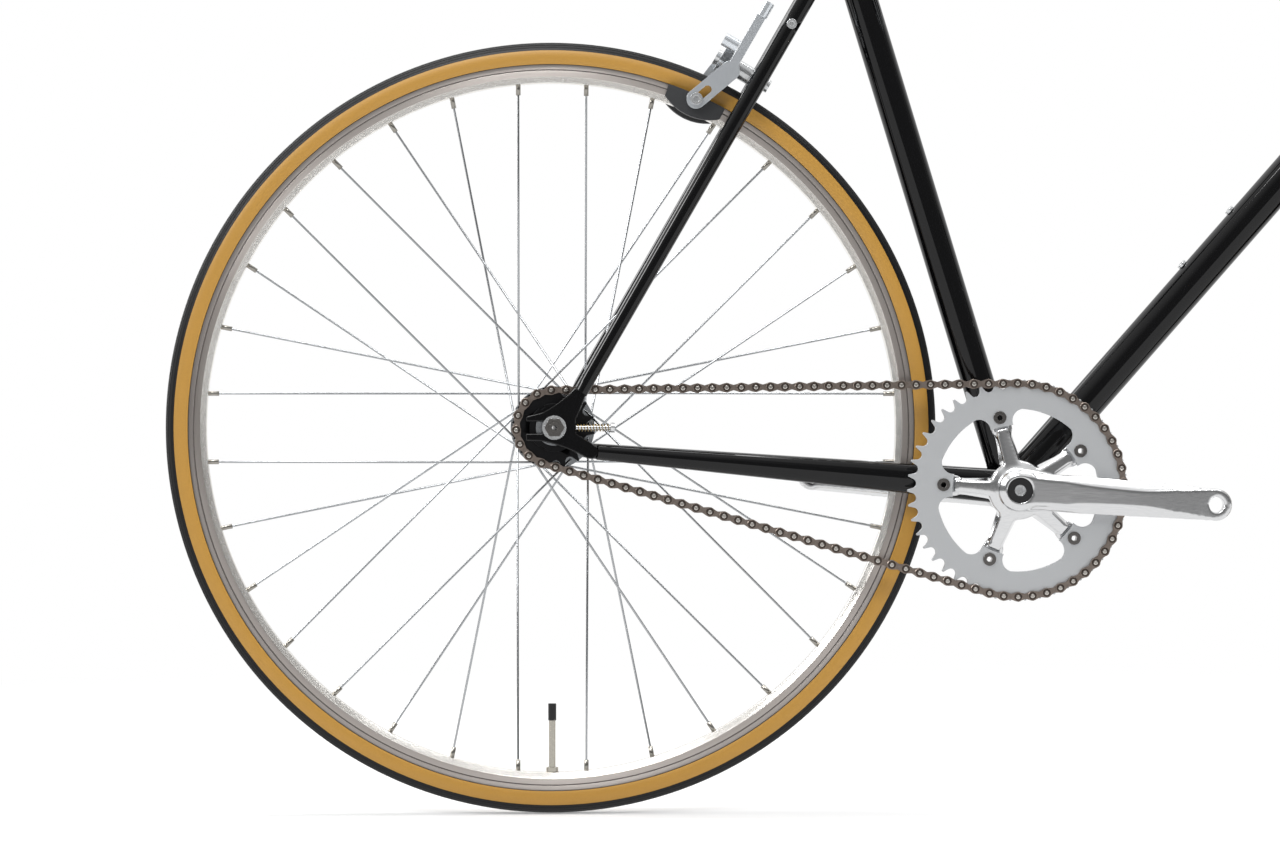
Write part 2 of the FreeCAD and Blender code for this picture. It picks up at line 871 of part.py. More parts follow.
def fork_end(side):
    """A flat fork end with a slot open below the axle."""
    inner = front_hub_width / 2
    low = inner if side > 0 else -inner - fork_end_thickness
    up = steer_up
    middle = front_axle + up * (fork_end_length / 4) + vec(0, low, 0)
    wire = stadium(middle, up, steer_forward, fork_end_length / 4, fork_end_width / 2)
    plate = Part.Face(wire).extrude(vec(0, fork_end_thickness, 0))
    slot_middle = front_axle - up * (fork_end_width / 2) + vec(0, low - overrun, 0)
    slot = stadium(slot_middle, up, steer_forward, fork_end_width / 2, axle_radius + running_gap)
    return plate.cut(Part.Face(slot).extrude(vec(0, fork_end_thickness + 2 * overrun, 0)))


def front_brake_holes():
    middle = crown_seat - steer_up * (crown_height / 2)
    reach = steer_forward * (crown_boss_radius + overrun)
    return [rod(middle - reach, middle + reach, caliper_bolt_radius + running_gap)]


def make_fork(race):
    wire = stadium(crown_bottom, side_axis, steer_forward, blade_offset, blade_top_radius + blade_wall)
    crown = Part.Face(wire).extrude(steer_up * (crown_height - headset_race_height))
    boss = rod(crown_bottom, crown_seat, crown_boss_radius)
    steerer = rod(crown_seat, steerer_top - steer_up * overrun, steerer_radius)
    bore = rod(crown_bottom - steer_up * overrun, steerer_top, steerer_radius - steerer_wall)
    crown = joined([crown, boss, steerer]).cut(bore)
    save("fork_crown", [without(crown, front_brake_holes()), race])
    ends = [fork_end(1), fork_end(-1)]
    save("fork_blades",
         ends + [without(blade(side, 0).cut(blade(side, blade_wall)), ends) for side in (1, -1)])


# Stem and handlebar
stem_middle = steerer_top - steer_up * (stem_clamp_height / 2)
bar_centre = stem_middle + steer_forward * stem_reach
bar_clamp_outer = bar_clamp_radius + stem_bar_clamp_wall


def stem_bolt_rows():
    rows = []
    for v in (1, -1):
        for u in (1, -1):
            rows.append(steer_up * (v * (bar_clamp_radius + stem_bolt_head_radius + seat_gap)) +
                        vec(0, u * stem_bolt_spread, 0))
    return rows


def make_stem():
    half = stem_bar_clamp_width / 2
    clamp = rod(steerer_top - steer_up * stem_clamp_height, steerer_top, stem_radius)
    arm = taper(stem_middle, bar_centre, stem_radius - overrun, stem_arm_radius)
    ears = (bar_clamp_radius + 2 * stem_bolt_head_radius + seat_gap)
    barrel = disc(bar_centre, -half, half, bar_clamp_outer)
    lug_size = stem_bar_clamp_wall * 2
    lug_corner = bar_centre - steer_forward * lug_size - steer_up * ears + vec(0, -half, 0)
    lug_wire = polygon([
        lug_corner,
        lug_corner + steer_forward * (2 * lug_size),
        lug_corner + steer_forward * (2 * lug_size) + steer_up * (2 * ears),
        lug_corner + steer_up * (2 * ears),
    ])
    lugs = Part.Face(lug_wire).extrude(vec(0, 2 * half, 0))
    whole = joined([barrel, lugs])
    bore = disc(bar_centre, -half - overrun, half + overrun, bar_clamp_radius)
    big = Part.makeBox(4 * ears, 4 * half, 4 * ears)
    big.translate(vec(0, -2 * half, -2 * ears))
    split = big.copy()
    split.Placement = FreeCAD.Placement(
        bar_centre, FreeCAD.Rotation(vec(1, 0, 0), steer_forward)).multiply(split.Placement)
    steerer_hole = rod(steerer_top - steer_up * (stem_clamp_height + overrun),
                       steerer_top + steer_up * overrun,
                       steerer_radius + running_gap)
    back = split.copy()
    back.translate(steer_forward * -seat_gap)
    front = split.copy()
    front.translate(steer_forward * seat_gap)
    body = joined([clamp, arm, whole.cut(back)])
    bolts = []
    holes = []
    for row in stem_bolt_rows():
        face = bar_centre + steer_forward * lug_size + row
        tail = face - steer_forward * (2 * lug_size)
        head_end = face + steer_forward * stem_bolt_head_height
        bolt = joined([rod(tail, face, stem_bolt_radius), rod(face, head_end, stem_bolt_head_radius)])
        socket = prism(face + steer_forward * (stem_bolt_head_height / 2), head_end + steer_forward * overrun,
                       stem_bolt_radius, 6)
        bolts.append(bolt.cut(socket))
        holes.append(rod(tail - steer_forward * seat_gap, face + steer_forward * overrun,
                         stem_bolt_radius + running_gap))
    save("stem", without(body, [steerer_hole, bore] + holes))
    save("stem_faceplate", [without(whole.common(front), [bore] + holes)] + bolts)


def bent_path(points, radius):
    """Straight runs joined by tangent arcs of one radius."""
    edges = []
    here = points[0]
    for before, corner, after in zip(points, points[1:], points[2:]):
        into = (corner - before).normalize()
        out = (after - corner).normalize()
        turn = into.getAngle(out)
        reach = radius * math.tan(turn / 2)
        start = corner - into * reach
        edges.append(Part.LineSegment(here, start).toShape())
        edges.append(tangent_arc(start, into, corner + out * reach))
        here = corner + out * reach
    edges.append(Part.LineSegment(here, points[-1]).toShape())
    return Part.Wire(edges)


def bent_rod(points, bend_radius, radius):
    path = bent_path(points, bend_radius)
    heading = points[1] - points[0]
    profile = Part.Wire([Part.makeCircle(radius, points[0], heading)])
    return path.makePipeShell([profile], True, False)


def bar_points():
    half = bar_width / 2 - bar_plug_height
    right = [
        bar_centre + vec(-bar_sweep, -half, bar_rise),
        bar_centre + vec(0, -bar_shoulder_half, bar_rise),
        bar_centre + vec(0, -bar_flat_half, 0),
    ]
    return right + [vec(p.x, -p.y, p.z) for p in reversed(right)]


def bar_end(side):
    """The end of the bar on one side and the direction from there inwards along the grip."""
    points = bar_points()
    end, shoulder = (points[0], points[1]) if side < 0 else (points[-1], points[-2])
    return end, (shoulder - end).normalize()


def make_handlebar():
    points = bar_points()
    tube = bent_rod(points, bar_bend_radius, bar_end_radius)
    half = stem_bar_clamp_width / 2 + stem_bar_clamp_wall
    parts = [tube, disc(bar_centre, -half, half, bar_clamp_radius)]
    for side in (1, -1):
        wide = bar_centre + vec(0, side * half, 0)
        narrow = bar_centre + vec(0, side * bar_flat_half * bar_cone_share, 0)
        parts.append(taper(wide, narrow, bar_clamp_radius, bar_end_radius))
    bar = joined(parts).cut(bent_rod(points, bar_bend_radius, bar_end_radius - bar_wall))
    save("handlebar", bar)
    grips = []
    plugs = []
    for side in (1, -1):
        end, inward = bar_end(side)
        sleeve = pipe(end, end + inward * grip_length, grip_radius, bar_end_radius + running_gap)
        flange_end = end + inward * (grip_length + grip_flange_height)
        flange = pipe(end + inward * grip_length, flange_end, grip_flange_radius,
                      bar_end_radius + running_gap)
        grips.append(joined([sleeve, flange]))
        lip = rod(end - inward * bar_plug_height, end, grip_radius - seat_gap)
        stem = rod(end, end + inward * (2 * bar_plug_height), bar_end_radius - bar_wall - running_gap)
        plugs.append(joined([lip, stem]))
    save("grips", grips + plugs)


# Brake levers
def lever_frame(side):
    """Pivot and directions of a brake lever: outwards along the grip, forward and up."""
    end, inward = bar_end(side)
    outward = inward * -1
    forward = vec(0, 0, 1).cross(outward) * -side
    forward.normalize()
    clamp = end + inward * (grip_length + grip_flange_height + lever_from_grip)
    pivot = clamp + forward * lever_pivot_forward + outward * lever_pivot_inset
    return clamp, pivot, outward, forward


def flat_bar(points, low, height):
    """A plate with corners at given points, standing up from a height."""
    face = Part.Face(polygon([point + vec(0, 0, low) for point in points]))
    return face.extrude(vec(0, 0, height))


def make_lever(side, name):
    clamp, pivot, outward, forward = lever_frame(side)
    inner = lever_hub_radius
    bracket_half = lever_bracket_height / 2
    blade_half = lever_blade_height / 2
    arm_half = lever_bracket_width / 2
    ring_part = rod(clamp - outward * (lever_clamp_width / 2), clamp + outward * (lever_clamp_width / 2),
                    lever_clamp_radius)
    arm = flat_bar([clamp - outward * arm_half, clamp + outward * arm_half,
                    pivot + outward * inner, pivot - outward * inner], -bracket_half, 2 * bracket_half)
    eye = Part.makeCylinder(inner, 2 * bracket_half, pivot - vec(0, 0, bracket_half))
    bracket = joined([ring_part, arm, eye])
    bore = rod(clamp - outward * lever_clamp_width, clamp + outward * lever_clamp_width,
               bar_end_radius + running_gap)
    gap = Part.makeCylinder(inner + lever_gap, 2 * (blade_half + seat_gap),
                            pivot - vec(0, 0, blade_half + seat_gap))
    pin = Part.makeCylinder(lever_pivot_radius, 2 * bracket_half, pivot - vec(0, 0, bracket_half))
    bracket = joined([without(bracket, [bore, gap]), pin])
    hub = Part.makeCylinder(inner, 2 * blade_half, pivot - vec(0, 0, blade_half))
    half = lever_blade_thickness / 2
    elbow = pivot + outward * (lever_rise * lever_elbow_share) + forward * lever_rise
    tip = elbow + outward * lever_length
    blade_plate = flat_bar([
        pivot + forward * half - outward * half, elbow + forward * half - outward * half,
        tip + forward * half, tip - forward * half,
        elbow - forward * half + outward * half, pivot - forward * half + outward * half,
    ], -blade_half, 2 * blade_half)
    end = Part.makeCylinder(blade_half, 2 * blade_half, tip - vec(0, 0, blade_half))
    lever = joined([hub, blade_plate, end])
    hole = Part.makeCylinder(lever_pivot_radius + running_gap, 4 * bracket_half,
                             pivot - vec(0, 0, 2 * bracket_half))
    save(name, lever.cut(hole))
    return bracket


def make_levers():
    brackets = [make_lever(-1, "right_brake_lever"), make_lever(1, "left_brake_lever")]
    save("brake_lever_brackets", brackets)


# Wheels
wheel_centre = vec(0, 0, 0)


def at_angle(radius, degrees, y):
    """A place on a wheel: radius, angle up from straight ahead, and side-to-side place."""
    return vec(radius * math.cos(math.radians(degrees)), y, radius * math.sin(math.radians(degrees)))


def tyre_shape():
    half = tyre_width / 2
    middle = tyre_outer_radius - half
    seat = rim_flange_radius + seam_gap
    shoulder = math.sqrt(half**2 - (seat - middle) ** 2)
    bead_outer = rim_width / 2 - rim_flange_wall - running_gap
    bead_inner = bead_outer - tyre_bead_width
    bead_foot = rim_flange_radius - rim_well_depth + seam_gap
    lining = half - tyre_wall
    sill = seat + tyre_wall
    sill_half = math.sqrt(lining**2 - (sill - middle) ** 2)
    steps = [
        (bead_outer, seat),
        (shoulder, seat),
        ((0, tyre_outer_radius), (-shoulder, seat)),
        (-bead_outer, seat),
        (-bead_outer, bead_foot),
        (-bead_inner, bead_foot),
        (-bead_inner, sill),
        (-sill_half, sill),
        ((0, middle + lining), (sill_half, sill)),
        (bead_inner, sill),
        (bead_inner, bead_foot),
    ]
    return turned((bead_outer, bead_foot), steps, wheel_centre)


def rim_shape(spoke_lines):
    half = rim_width / 2
    track_foot = rim_flange_radius - rim_track_height
    well = rim_flange_radius - rim_well_depth
    inner = half - rim_flange_wall
    bed = rim_bed_width / 2
    notch = rim_groove_width / 2
    right = [
        (half, rim_groove_radius + notch),
        (half - rim_groove_depth, rim_groove_radius),
        (half, rim_groove_radius - notch),
        (half, track_foot),
        (bed, rim_bed_radius),
    ]
    left = [(-y, r) for y, r in reversed(right)]
    top = [(-half, rim_flange_radius), (-inner, rim_flange_radius), (-inner, well), (inner, well),
           (inner, rim_flange_radius)]
    rim = turned((half, rim_flange_radius), right + left + top, wheel_centre)
    roof = well - rim_wall
    wall = half - rim_wall
    shelf = track_foot + rim_wall * rim_shelf_share
    floor = rim_bed_radius + rim_wall
    chamber = turned((wall, roof),
                     [(wall, shelf), (bed, floor), (-bed, floor), (-wall, shelf), (-wall, roof)], wheel_centre)
    hole_radius = (nipple_width / math.sqrt(2) + rim_hole_gap) / math.cos(math.pi / rim_hole_sides)
    holes = [prism(outer + (outer - inner_end).normalize() * overrun, inner_end, hole_radius, rim_hole_sides)
             for outer, inner_end in spoke_lines]
    valve_hole = rod(at_angle(rim_bed_radius - overrun, valve_angle, 0),
                     at_angle(rim_flange_radius, valve_angle, 0),
                     valve_radius + rim_hole_gap)
    return without(rim, [chamber, valve_hole] + holes)


def spoke_line(index):
    """Places along a spoke: head, head's seat, elbow, foot of its nipple and tip of its nipple."""
    flange_side = -1 if index % 2 == 0 else 1
    trail = 1 if index % 4 < 2 else -1
    rim_angle = (index + 1 / 2) * 360 / spoke_count
    hub_angle = rim_angle + trail * spoke_crossings * 2 * 360 / spoke_count
    gap = hub_outer_gap if trail > 0 else hub_hole_gap
    lift = hub_flange_thickness / 2 + spoke_radius + gap
    elbow = at_angle(hub_flange_pitch_radius, hub_angle, flange_side * (hub_flange_offset + trail * lift))
    tip = at_angle(rim_bed_radius + nipple_inset, rim_angle, flange_side * nipple_row_offset)
    inward = vec(0, -flange_side * trail, 0)
    seat = elbow + inward * (lift + hub_flange_thickness / 2 + hub_hole_gap)
    foot = tip + (elbow - tip).normalize() * nipple_length
    return seat + inward * spoke_head_height, seat, elbow, foot, tip


def spoke_shapes(index):
    """A spoke with its elbow and head in the flange, and its square-sided nipple in the rim."""
    head, seat, elbow, foot, tip = spoke_line(index)
    start = elbow + (elbow - seat).normalize() * spoke_radius
    pieces = [
        prism(elbow, foot, spoke_radius, spoke_sides),
        prism(start, seat, spoke_radius, spoke_sides),
        prism(seat, head, spoke_head_radius, spoke_sides),
    ]
    return joined(pieces), prism(foot, tip, nipple_width / math.sqrt(2), 4)


def spun(shape, step):
    return about(shape, wheel_centre, step * 4 * 360 / spoke_count)


def lacing():
    """All spokes and nipples, and the lines of their holes: four kinds, repeated round the wheel."""
    spokes = []
    nipples = []
    for kind in range(4):
        spoke, nipple = spoke_shapes(kind)
        for step in range(spoke_count // 4):
            spokes.append(spun(spoke, step))
            nipples.append(spun(nipple, step))
    rim_lines = []
    flange_lines = []
    for index in range(spoke_count):
        head, _, elbow, foot, tip = spoke_line(index)
        rim_lines.append((tip, foot))
        flange_lines.append((elbow, head))
    return spokes, nipples, rim_lines, flange_lines


def hub_shape(right_end, left_end, flange_holes):
    """A large-flange hub shell with its bearings at both ends."""
    barrel = hub_barrel_radius
    near = hub_flange_offset - hub_flange_thickness / 2
    far = hub_flange_offset + hub_flange_thickness / 2
    steps = [(-far, barrel), (-far, hub_flange_radius), (-near, hub_flange_radius),
             (-near, barrel + hub_wall)]
    steps += [((0, barrel - hub_wall / 2), (near, barrel + hub_wall))]
    steps += [(near, hub_flange_radius), (far, hub_flange_radius), (far, barrel), (left_end, barrel)]
    bore = barrel - hub_wall
    steps += [(left_end, bore), (-right_end, bore)]
    shell = turned((-right_end, barrel), steps, wheel_centre)
    hole_radius = (spoke_radius + hub_hole_gap) / math.cos(math.pi / spoke_sides)
    holes = [prism(start, end, hole_radius, spoke_sides) for start, end in flange_holes]
    shell = without(shell, holes)
    bearings = []
    for end, inward in ((-right_end, 1), (left_end, -1)):
        start = end + inward * hub_bearing_inset
        bearings.append(ring(wheel_centre, start, start + inward * hub_bearing_width, bore - running_gap,
                             axle_radius + running_gap))
    return shell, bearings


def moved(shapes, place):
    copies = []
    for shape in shapes:
        copy = shape.copy()
        copy.translate(place)
        copies.append(copy)
    return copies


def inner_tube_shapes():
    half = tyre_width / 2
    middle = tyre_outer_radius - half
    sill = rim_flange_radius + tyre_wall + 2 * seam_gap

    def turned_cap(radius, floor):
        half_floor = math.sqrt(radius**2 - (floor - middle) ** 2)
        return turned((half_floor, floor), [((0, middle + radius), (-half_floor, floor))], wheel_centre)

    outer = half - tyre_wall - running_gap
    tube = turned_cap(outer, sill)
    hollow = turned_cap(outer - inner_tube_wall, sill + inner_tube_wall)
    foot = at_angle(sill + inner_tube_wall / 2, valve_angle, 0)
    end = at_angle(rim_bed_radius - valve_reach, valve_angle, 0)
    stem = rod(foot, end, valve_radius)
    tube = joined([tube.cut(hollow), stem])
    seat_radius = math.sqrt(rim_bed_radius**2 - valve_nut_radius**2) - seam_gap
    seat = at_angle(seat_radius, valve_angle, 0)
    inward = (end - seat).normalize()
    nut = pipe(seat, seat + inward * valve_nut_height, valve_nut_radius, valve_radius + running_gap)
    cap = rod(end - inward * valve_cap_height, end + inward * (valve_cap_radius / 2), valve_cap_radius)
    cap = cap.cut(rod(end - inward * (valve_cap_height + overrun), end, valve_radius + running_gap))
    return tube, [nut, cap]


def axle_shapes(hub_width, right_end, left_end, plate):
    """A hollow axle with its locknuts, and the two nuts outside the plates that hold it."""
    half = hub_width / 2
    nut_seat = half + plate
    end = nut_seat + axle_nut_height + axle_end
    parts = [disc(wheel_centre, -end, end, axle_radius)]
    parts.append(disc(wheel_centre, -half, -right_end - seat_gap, hub_locknut_radius))
    parts.append(disc(wheel_centre, left_end + seat_gap, half, hub_locknut_radius))
    axle = joined(parts).cut(disc(wheel_centre, -end - overrun, end + overrun, axle_bore_radius))
    nuts = []
    for side in (1, -1):
        flange = disc(wheel_centre, side * nut_seat, side * (nut_seat + axle_nut_flange_height),
                      axle_nut_radius)
        start = vec(0, side * nut_seat, 0)
        body = prism(start, start + vec(0, side * axle_nut_height, 0), hex_radius(axle_nut_hex_width), 6)
        bore = disc(wheel_centre, side * (nut_seat - overrun), side * (end + overrun),
                    axle_radius + running_gap)
        nuts.append(joined([flange, body]).cut(bore))
    return axle, nuts


def make_wheels():
    spokes, nipples, rim_lines, flange_lines = lacing()
    tyre = tyre_shape()
    rim = rim_shape(rim_lines)
    tube, fittings = inner_tube_shapes()
    cog_end = chain_line + sprocket_thickness / 2 + lockring_height
    for name, place, width, right_end, left_end, plate in (
        ("rear", rear_axle, rear_hub_width, cog_end, hub_left_end, track_end_thickness),
        ("front", front_axle, front_hub_width, hub_front_end, hub_front_end, fork_end_thickness),
    ):
        shell, bearings = hub_shape(right_end, left_end, flange_lines)
        axle, nuts = axle_shapes(width, right_end, left_end, plate)
        save(name + "_tyre", moved([tyre], place))
        save(name + "_inner_tube", moved([tube] + fittings, place))
        save(name + "_rim", moved([rim], place))
        save(name + "_spokes", moved(spokes + nipples, place))
        save(name + "_hub", moved([shell] + bearings, place))
        save(name + "_axle", moved([axle] + nuts, place))


# Sprockets and chain
centre_line_angle = math.degrees(math.atan2(bottom_bracket.z - rear_axle.z, bottom_bracket.x - rear_axle.x))


def polar(radius, degrees):
    return radius * math.cos(math.radians(degrees)), radius * math.sin(math.radians(degrees))


def sprocket(centre, teeth, pitch_radius, facing):
    """A toothed disc whose gaps hold the rollers, with a tooth on the centre line."""
    step = 360 / teeth
    seat_radius = roller_radius + tooth_seat_gap
    tip_radius = pitch_radius + tooth_height
    tip_half = math.degrees(math.asin(tooth_tip_width / 2 / tip_radius))

    def seat_point(gap, turn):
        middle = polar(pitch_radius, gap)
        offset = polar(seat_radius, gap + 180 + turn)
        return middle[0] + offset[0], middle[1] + offset[1]

    steps = []
    start = None
    for tooth in range(teeth):
        gap = facing + (tooth + 0.5) * step
        first = seat_point(gap, tooth_seat_half_angle)
        if start is None:
            start = first
        else:
            steps.append(first)
        steps.append((seat_point(gap, 0), seat_point(gap, -tooth_seat_half_angle)))
        steps.append(polar(tip_radius, gap + step / 2 - tip_half))
        steps.append(polar(tip_radius, gap + step / 2 + tip_half))
    return side_plate(start, steps, centre, -chain_line - sprocket_thickness / 2, sprocket_thickness)


def plate_outline(radius):
    """A link plate: round ends over the pins and a narrow waist."""
    points = []
    for end, turn in ((1, -90), (0, 90)):
        for side in range(plate_end_sides + 1):
            u, v = polar(radius, turn + side * 180 / plate_end_sides)
            points.append((end * chain_pitch + u, v))
        waist = radius * plate_waist_share * (1 if end else -1)
        points.append((chain_pitch / 2, waist))
    return points


def link_plate(radius, y_from):
    outline = plate_outline(radius)
    return side_plate(outline[0], outline[1:], wheel_centre, y_from, link_plate_thickness)


def link_templates():
    """Plates and rollers of an inner link, and the riveted plates of an outer link, at the first pin."""
    inner = roller_width / 2
    outer = inner + link_plate_thickness + seam_gap
    rivet_from = outer + link_plate_thickness
    inner_link = [link_plate(inner_plate_radius, inner),
                  link_plate(inner_plate_radius, -inner - link_plate_thickness)]
    for place in (0, chain_pitch):
        inner_link.append(prism(vec(place, -inner, 0), vec(place, inner, 0), roller_radius, roller_sides))
    outer_link = []
    for side in (1, -1):
        low = outer if side > 0 else -outer - link_plate_thickness
        parts = [link_plate(outer_plate_radius, low)]
        for place in (0, chain_pitch):
            start = vec(place, side * rivet_from, 0)
            parts.append(prism(start, start + vec(0, side * rivet_height, 0), rivet_radius, rivet_sides))
        outer_link.append(joined(parts))
    return outer_link, inner_link


def chain_pins():
    """All pins in order: round the chainring, back below, round the cog and forward above."""
    ahead = vec(bottom_bracket.x - rear_axle.x, 0, bottom_bracket.z - rear_axle.z).normalize()
    up = vec(-ahead.z, 0, ahead.x)
    pins = []
    for pin in range(links_on_ring + 1):
        angle = (links_on_ring - 2 * pin) * half_pitch_ring
        pins.append(bottom_bracket + ahead * (ring_pitch_radius * math.cos(angle)) +
                    up * (ring_pitch_radius * math.sin(angle)))
    cog_pins = []
    for pin in range(links_on_cog + 1):
        angle = (2 * pin - links_on_cog) * half_pitch_cog
        cog_pins.append(rear_axle - ahead * (cog_pitch_radius * math.cos(angle)) +
                        up * (cog_pitch_radius * math.sin(angle)))
    below = [pins[-1] + (cog_pins[0] - pins[-1]) * (step / links_on_run) for step in range(1, links_on_run)]
    above = [cog_pins[-1] + (pins[0] - cog_pins[-1]) * (step / links_on_run)
             for step in range(1, links_on_run)]
    return pins + below + cog_pins + above


def make_chain():
    outer_link, inner_link = link_templates()
    pins = chain_pins()
    outer_links = []
    inner_links = []
    for index, pin in enumerate(pins):
        heading = pins[(index + 1) % len(pins)] - pin
        angle = math.degrees(math.atan2(heading.z, heading.x))
        link = outer_link if index % 2 else inner_link
        placed = moved([about(shape, wheel_centre, angle) for shape in link], pin - vec(0, chain_line, 0))
        if index % 2:
            outer_links += placed
        else:
            inner_links += placed
    save("chain_outer_links", outer_links)
    save("chain_inner_links", inner_links)


# Crankset
ring_inner = chain_line - sprocket_thickness / 2
ring_outer = chain_line + sprocket_thickness / 2
chain_half_width = roller_width / 2 + 2 * link_plate_thickness + seam_gap + rivet_height


def arm_section(side, reach, outer, thickness, height, face):
    """A six-sided section of a crank arm with a flat front and bevelled edges."""
    bevel = (height - face) / 2
    places = (
        (outer, face / 2),
        (outer - bevel, height / 2),
        (outer - thickness, height / 2 * crank_back_share),
    )
    points = [vec(reach, side * y, z) for y, z in places]
    points += [vec(reach, side * y, -z) for y, z in reversed(places)]
    return polygon(points)


def crank_arm(side):
    """A crank arm that points forward, with its boss and pedal eye."""
    mid_reach = crank_length * crank_mid_share
    mid_inner = chain_line + chain_half_width + crank_clear_of_chain
    mid_thickness = (crank_root_thickness + crank_end_thickness) / 2
    mid_height = (crank_root_height + 2 * crank_eye_radius) / 2
    mid_face = (crank_root_face + crank_end_face) / 2
    end_outer = crank_tread / 2
    arm = lofted([
        arm_section(side, 0, crank_boss_outer, crank_root_thickness, crank_root_height, crank_root_face),
        arm_section(side, mid_reach, mid_inner + mid_thickness, mid_thickness, mid_height, mid_face),
        arm_section(side, crank_length, end_outer, crank_end_thickness, 2 * crank_eye_radius, crank_end_face),
    ])
    eye_centre = vec(crank_length, 0, 0)
    bevel_from = end_outer - crank_eye_bevel
    eye = disc(eye_centre, side * (end_outer - crank_end_thickness), side * bevel_from, crank_eye_radius)
    bevel = taper(eye_centre + vec(0, side * bevel_from, 0), eye_centre + vec(0, side * end_outer, 0),
                  crank_eye_radius, crank_eye_radius - crank_eye_bevel)
    eye = joined([eye, bevel])
    boss = disc(wheel_centre, side * crank_boss_inner, side * crank_boss_outer, crank_boss_radius)
    return [arm, eye, boss]


def crank_cuts(side):
    """Square seat for the spindle, well for the bolt and cap, and the threaded pedal hole."""
    half = spindle_square / 2
    square = Part.makeBox(spindle_square, 2 * crank_boss_outer, spindle_square)
    square.translate(vec(-half, -crank_boss_outer, -half))
    seat = square.common(disc(wheel_centre, 0, side * crank_boss_outer, spindle_radius))
    well = disc(wheel_centre, side * spindle_length / 2, side * (crank_boss_outer + overrun),
                crank_cap_radius + running_gap)
    eye_centre = vec(crank_length, 0, 0)
    pedal = disc(eye_centre, 0, side * crank_tread, pedal_hole_radius)
    return [seat, well, pedal]


def spider_arm():
    """One spider arm that points forward, with its tab behind the chainring."""
    wires = []
    for reach, width, low, high in (
        (0, spider_root_width, crank_boss_inner, spider_root_outer),
        (spider_tip_radius, spider_tip_width, ring_inner - spider_tab_thickness, ring_outer),
    ):
        half = width / 2
        wires.append(polygon([vec(reach, -low, -half), vec(reach, -low, half),
                              vec(reach, -high, half * spider_crest_share),
                              vec(reach, -high, -half * spider_crest_share)]))
    arm = lofted(wires)
    middle = (spider_tip_radius + chainring_bolt_circle) / 2
    half_length = (chainring_bolt_circle - spider_tip_radius) / 2
    outline = stadium(vec(middle, -ring_inner, 0), vec(1, 0, 0), vec(0, 0, 1), half_length, spider_tab_radius)
    tab = Part.Face(outline).extrude(vec(0, spider_tab_thickness, 0))
    keep_out = disc(wheel_centre, -ring_inner, -ring_outer - overrun,
                    spider_tip_radius + spider_tab_radius * 2)
    keep_out = keep_out.cut(disc(wheel_centre, 0, -ring_outer - 2 * overrun, spider_tip_radius))
    return joined([arm.cut(keep_out), tab])


def bolt_angles():
    step = 360 / chainring_bolt_count
    return [crank_rest_angle + step / 2 + step * k for k in range(chainring_bolt_count)]


def on_crank(shape, angle):
    return moved([about(shape, wheel_centre, angle)], bottom_bracket)[0]


def chainring_shape(holes):
    tab_half = math.degrees(math.asin(chainring_tab_half_width / chainring_tab_radius))
    flank_radius = (chainring_tab_radius +
                    (chainring_window_radius - chainring_tab_radius) * chainring_tab_flank_share)
    flank_half = math.degrees(math.asin(chainring_tab_flank_width / flank_radius))
    root_half = math.degrees(math.asin(chainring_tab_root_width / chainring_window_radius))
    angles = bolt_angles()
    step = 360 / chainring_bolt_count
    start = polar(chainring_window_radius, angles[0] + root_half)
    steps = []
    for angle in angles:
        following = angle + step
        steps.append((polar(chainring_window_radius, angle + step / 2),
                      polar(chainring_window_radius, following - root_half)))
        steps.append((polar(flank_radius, following - flank_half),
                      polar(chainring_tab_radius, following - tab_half)))
        steps.append((polar(chainring_tab_radius, following),
                      polar(chainring_tab_radius, following + tab_half)))
        steps.append((polar(flank_radius, following + flank_half),
                      polar(chainring_window_radius, following + root_half)))
    window = side_plate(start, steps, bottom_bracket, -ring_outer - overrun, sprocket_thickness + 2 * overrun)
    blank = sprocket(bottom_bracket, chainring_teeth, ring_pitch_radius, centre_line_angle)
    return without(blank, [window] + holes)


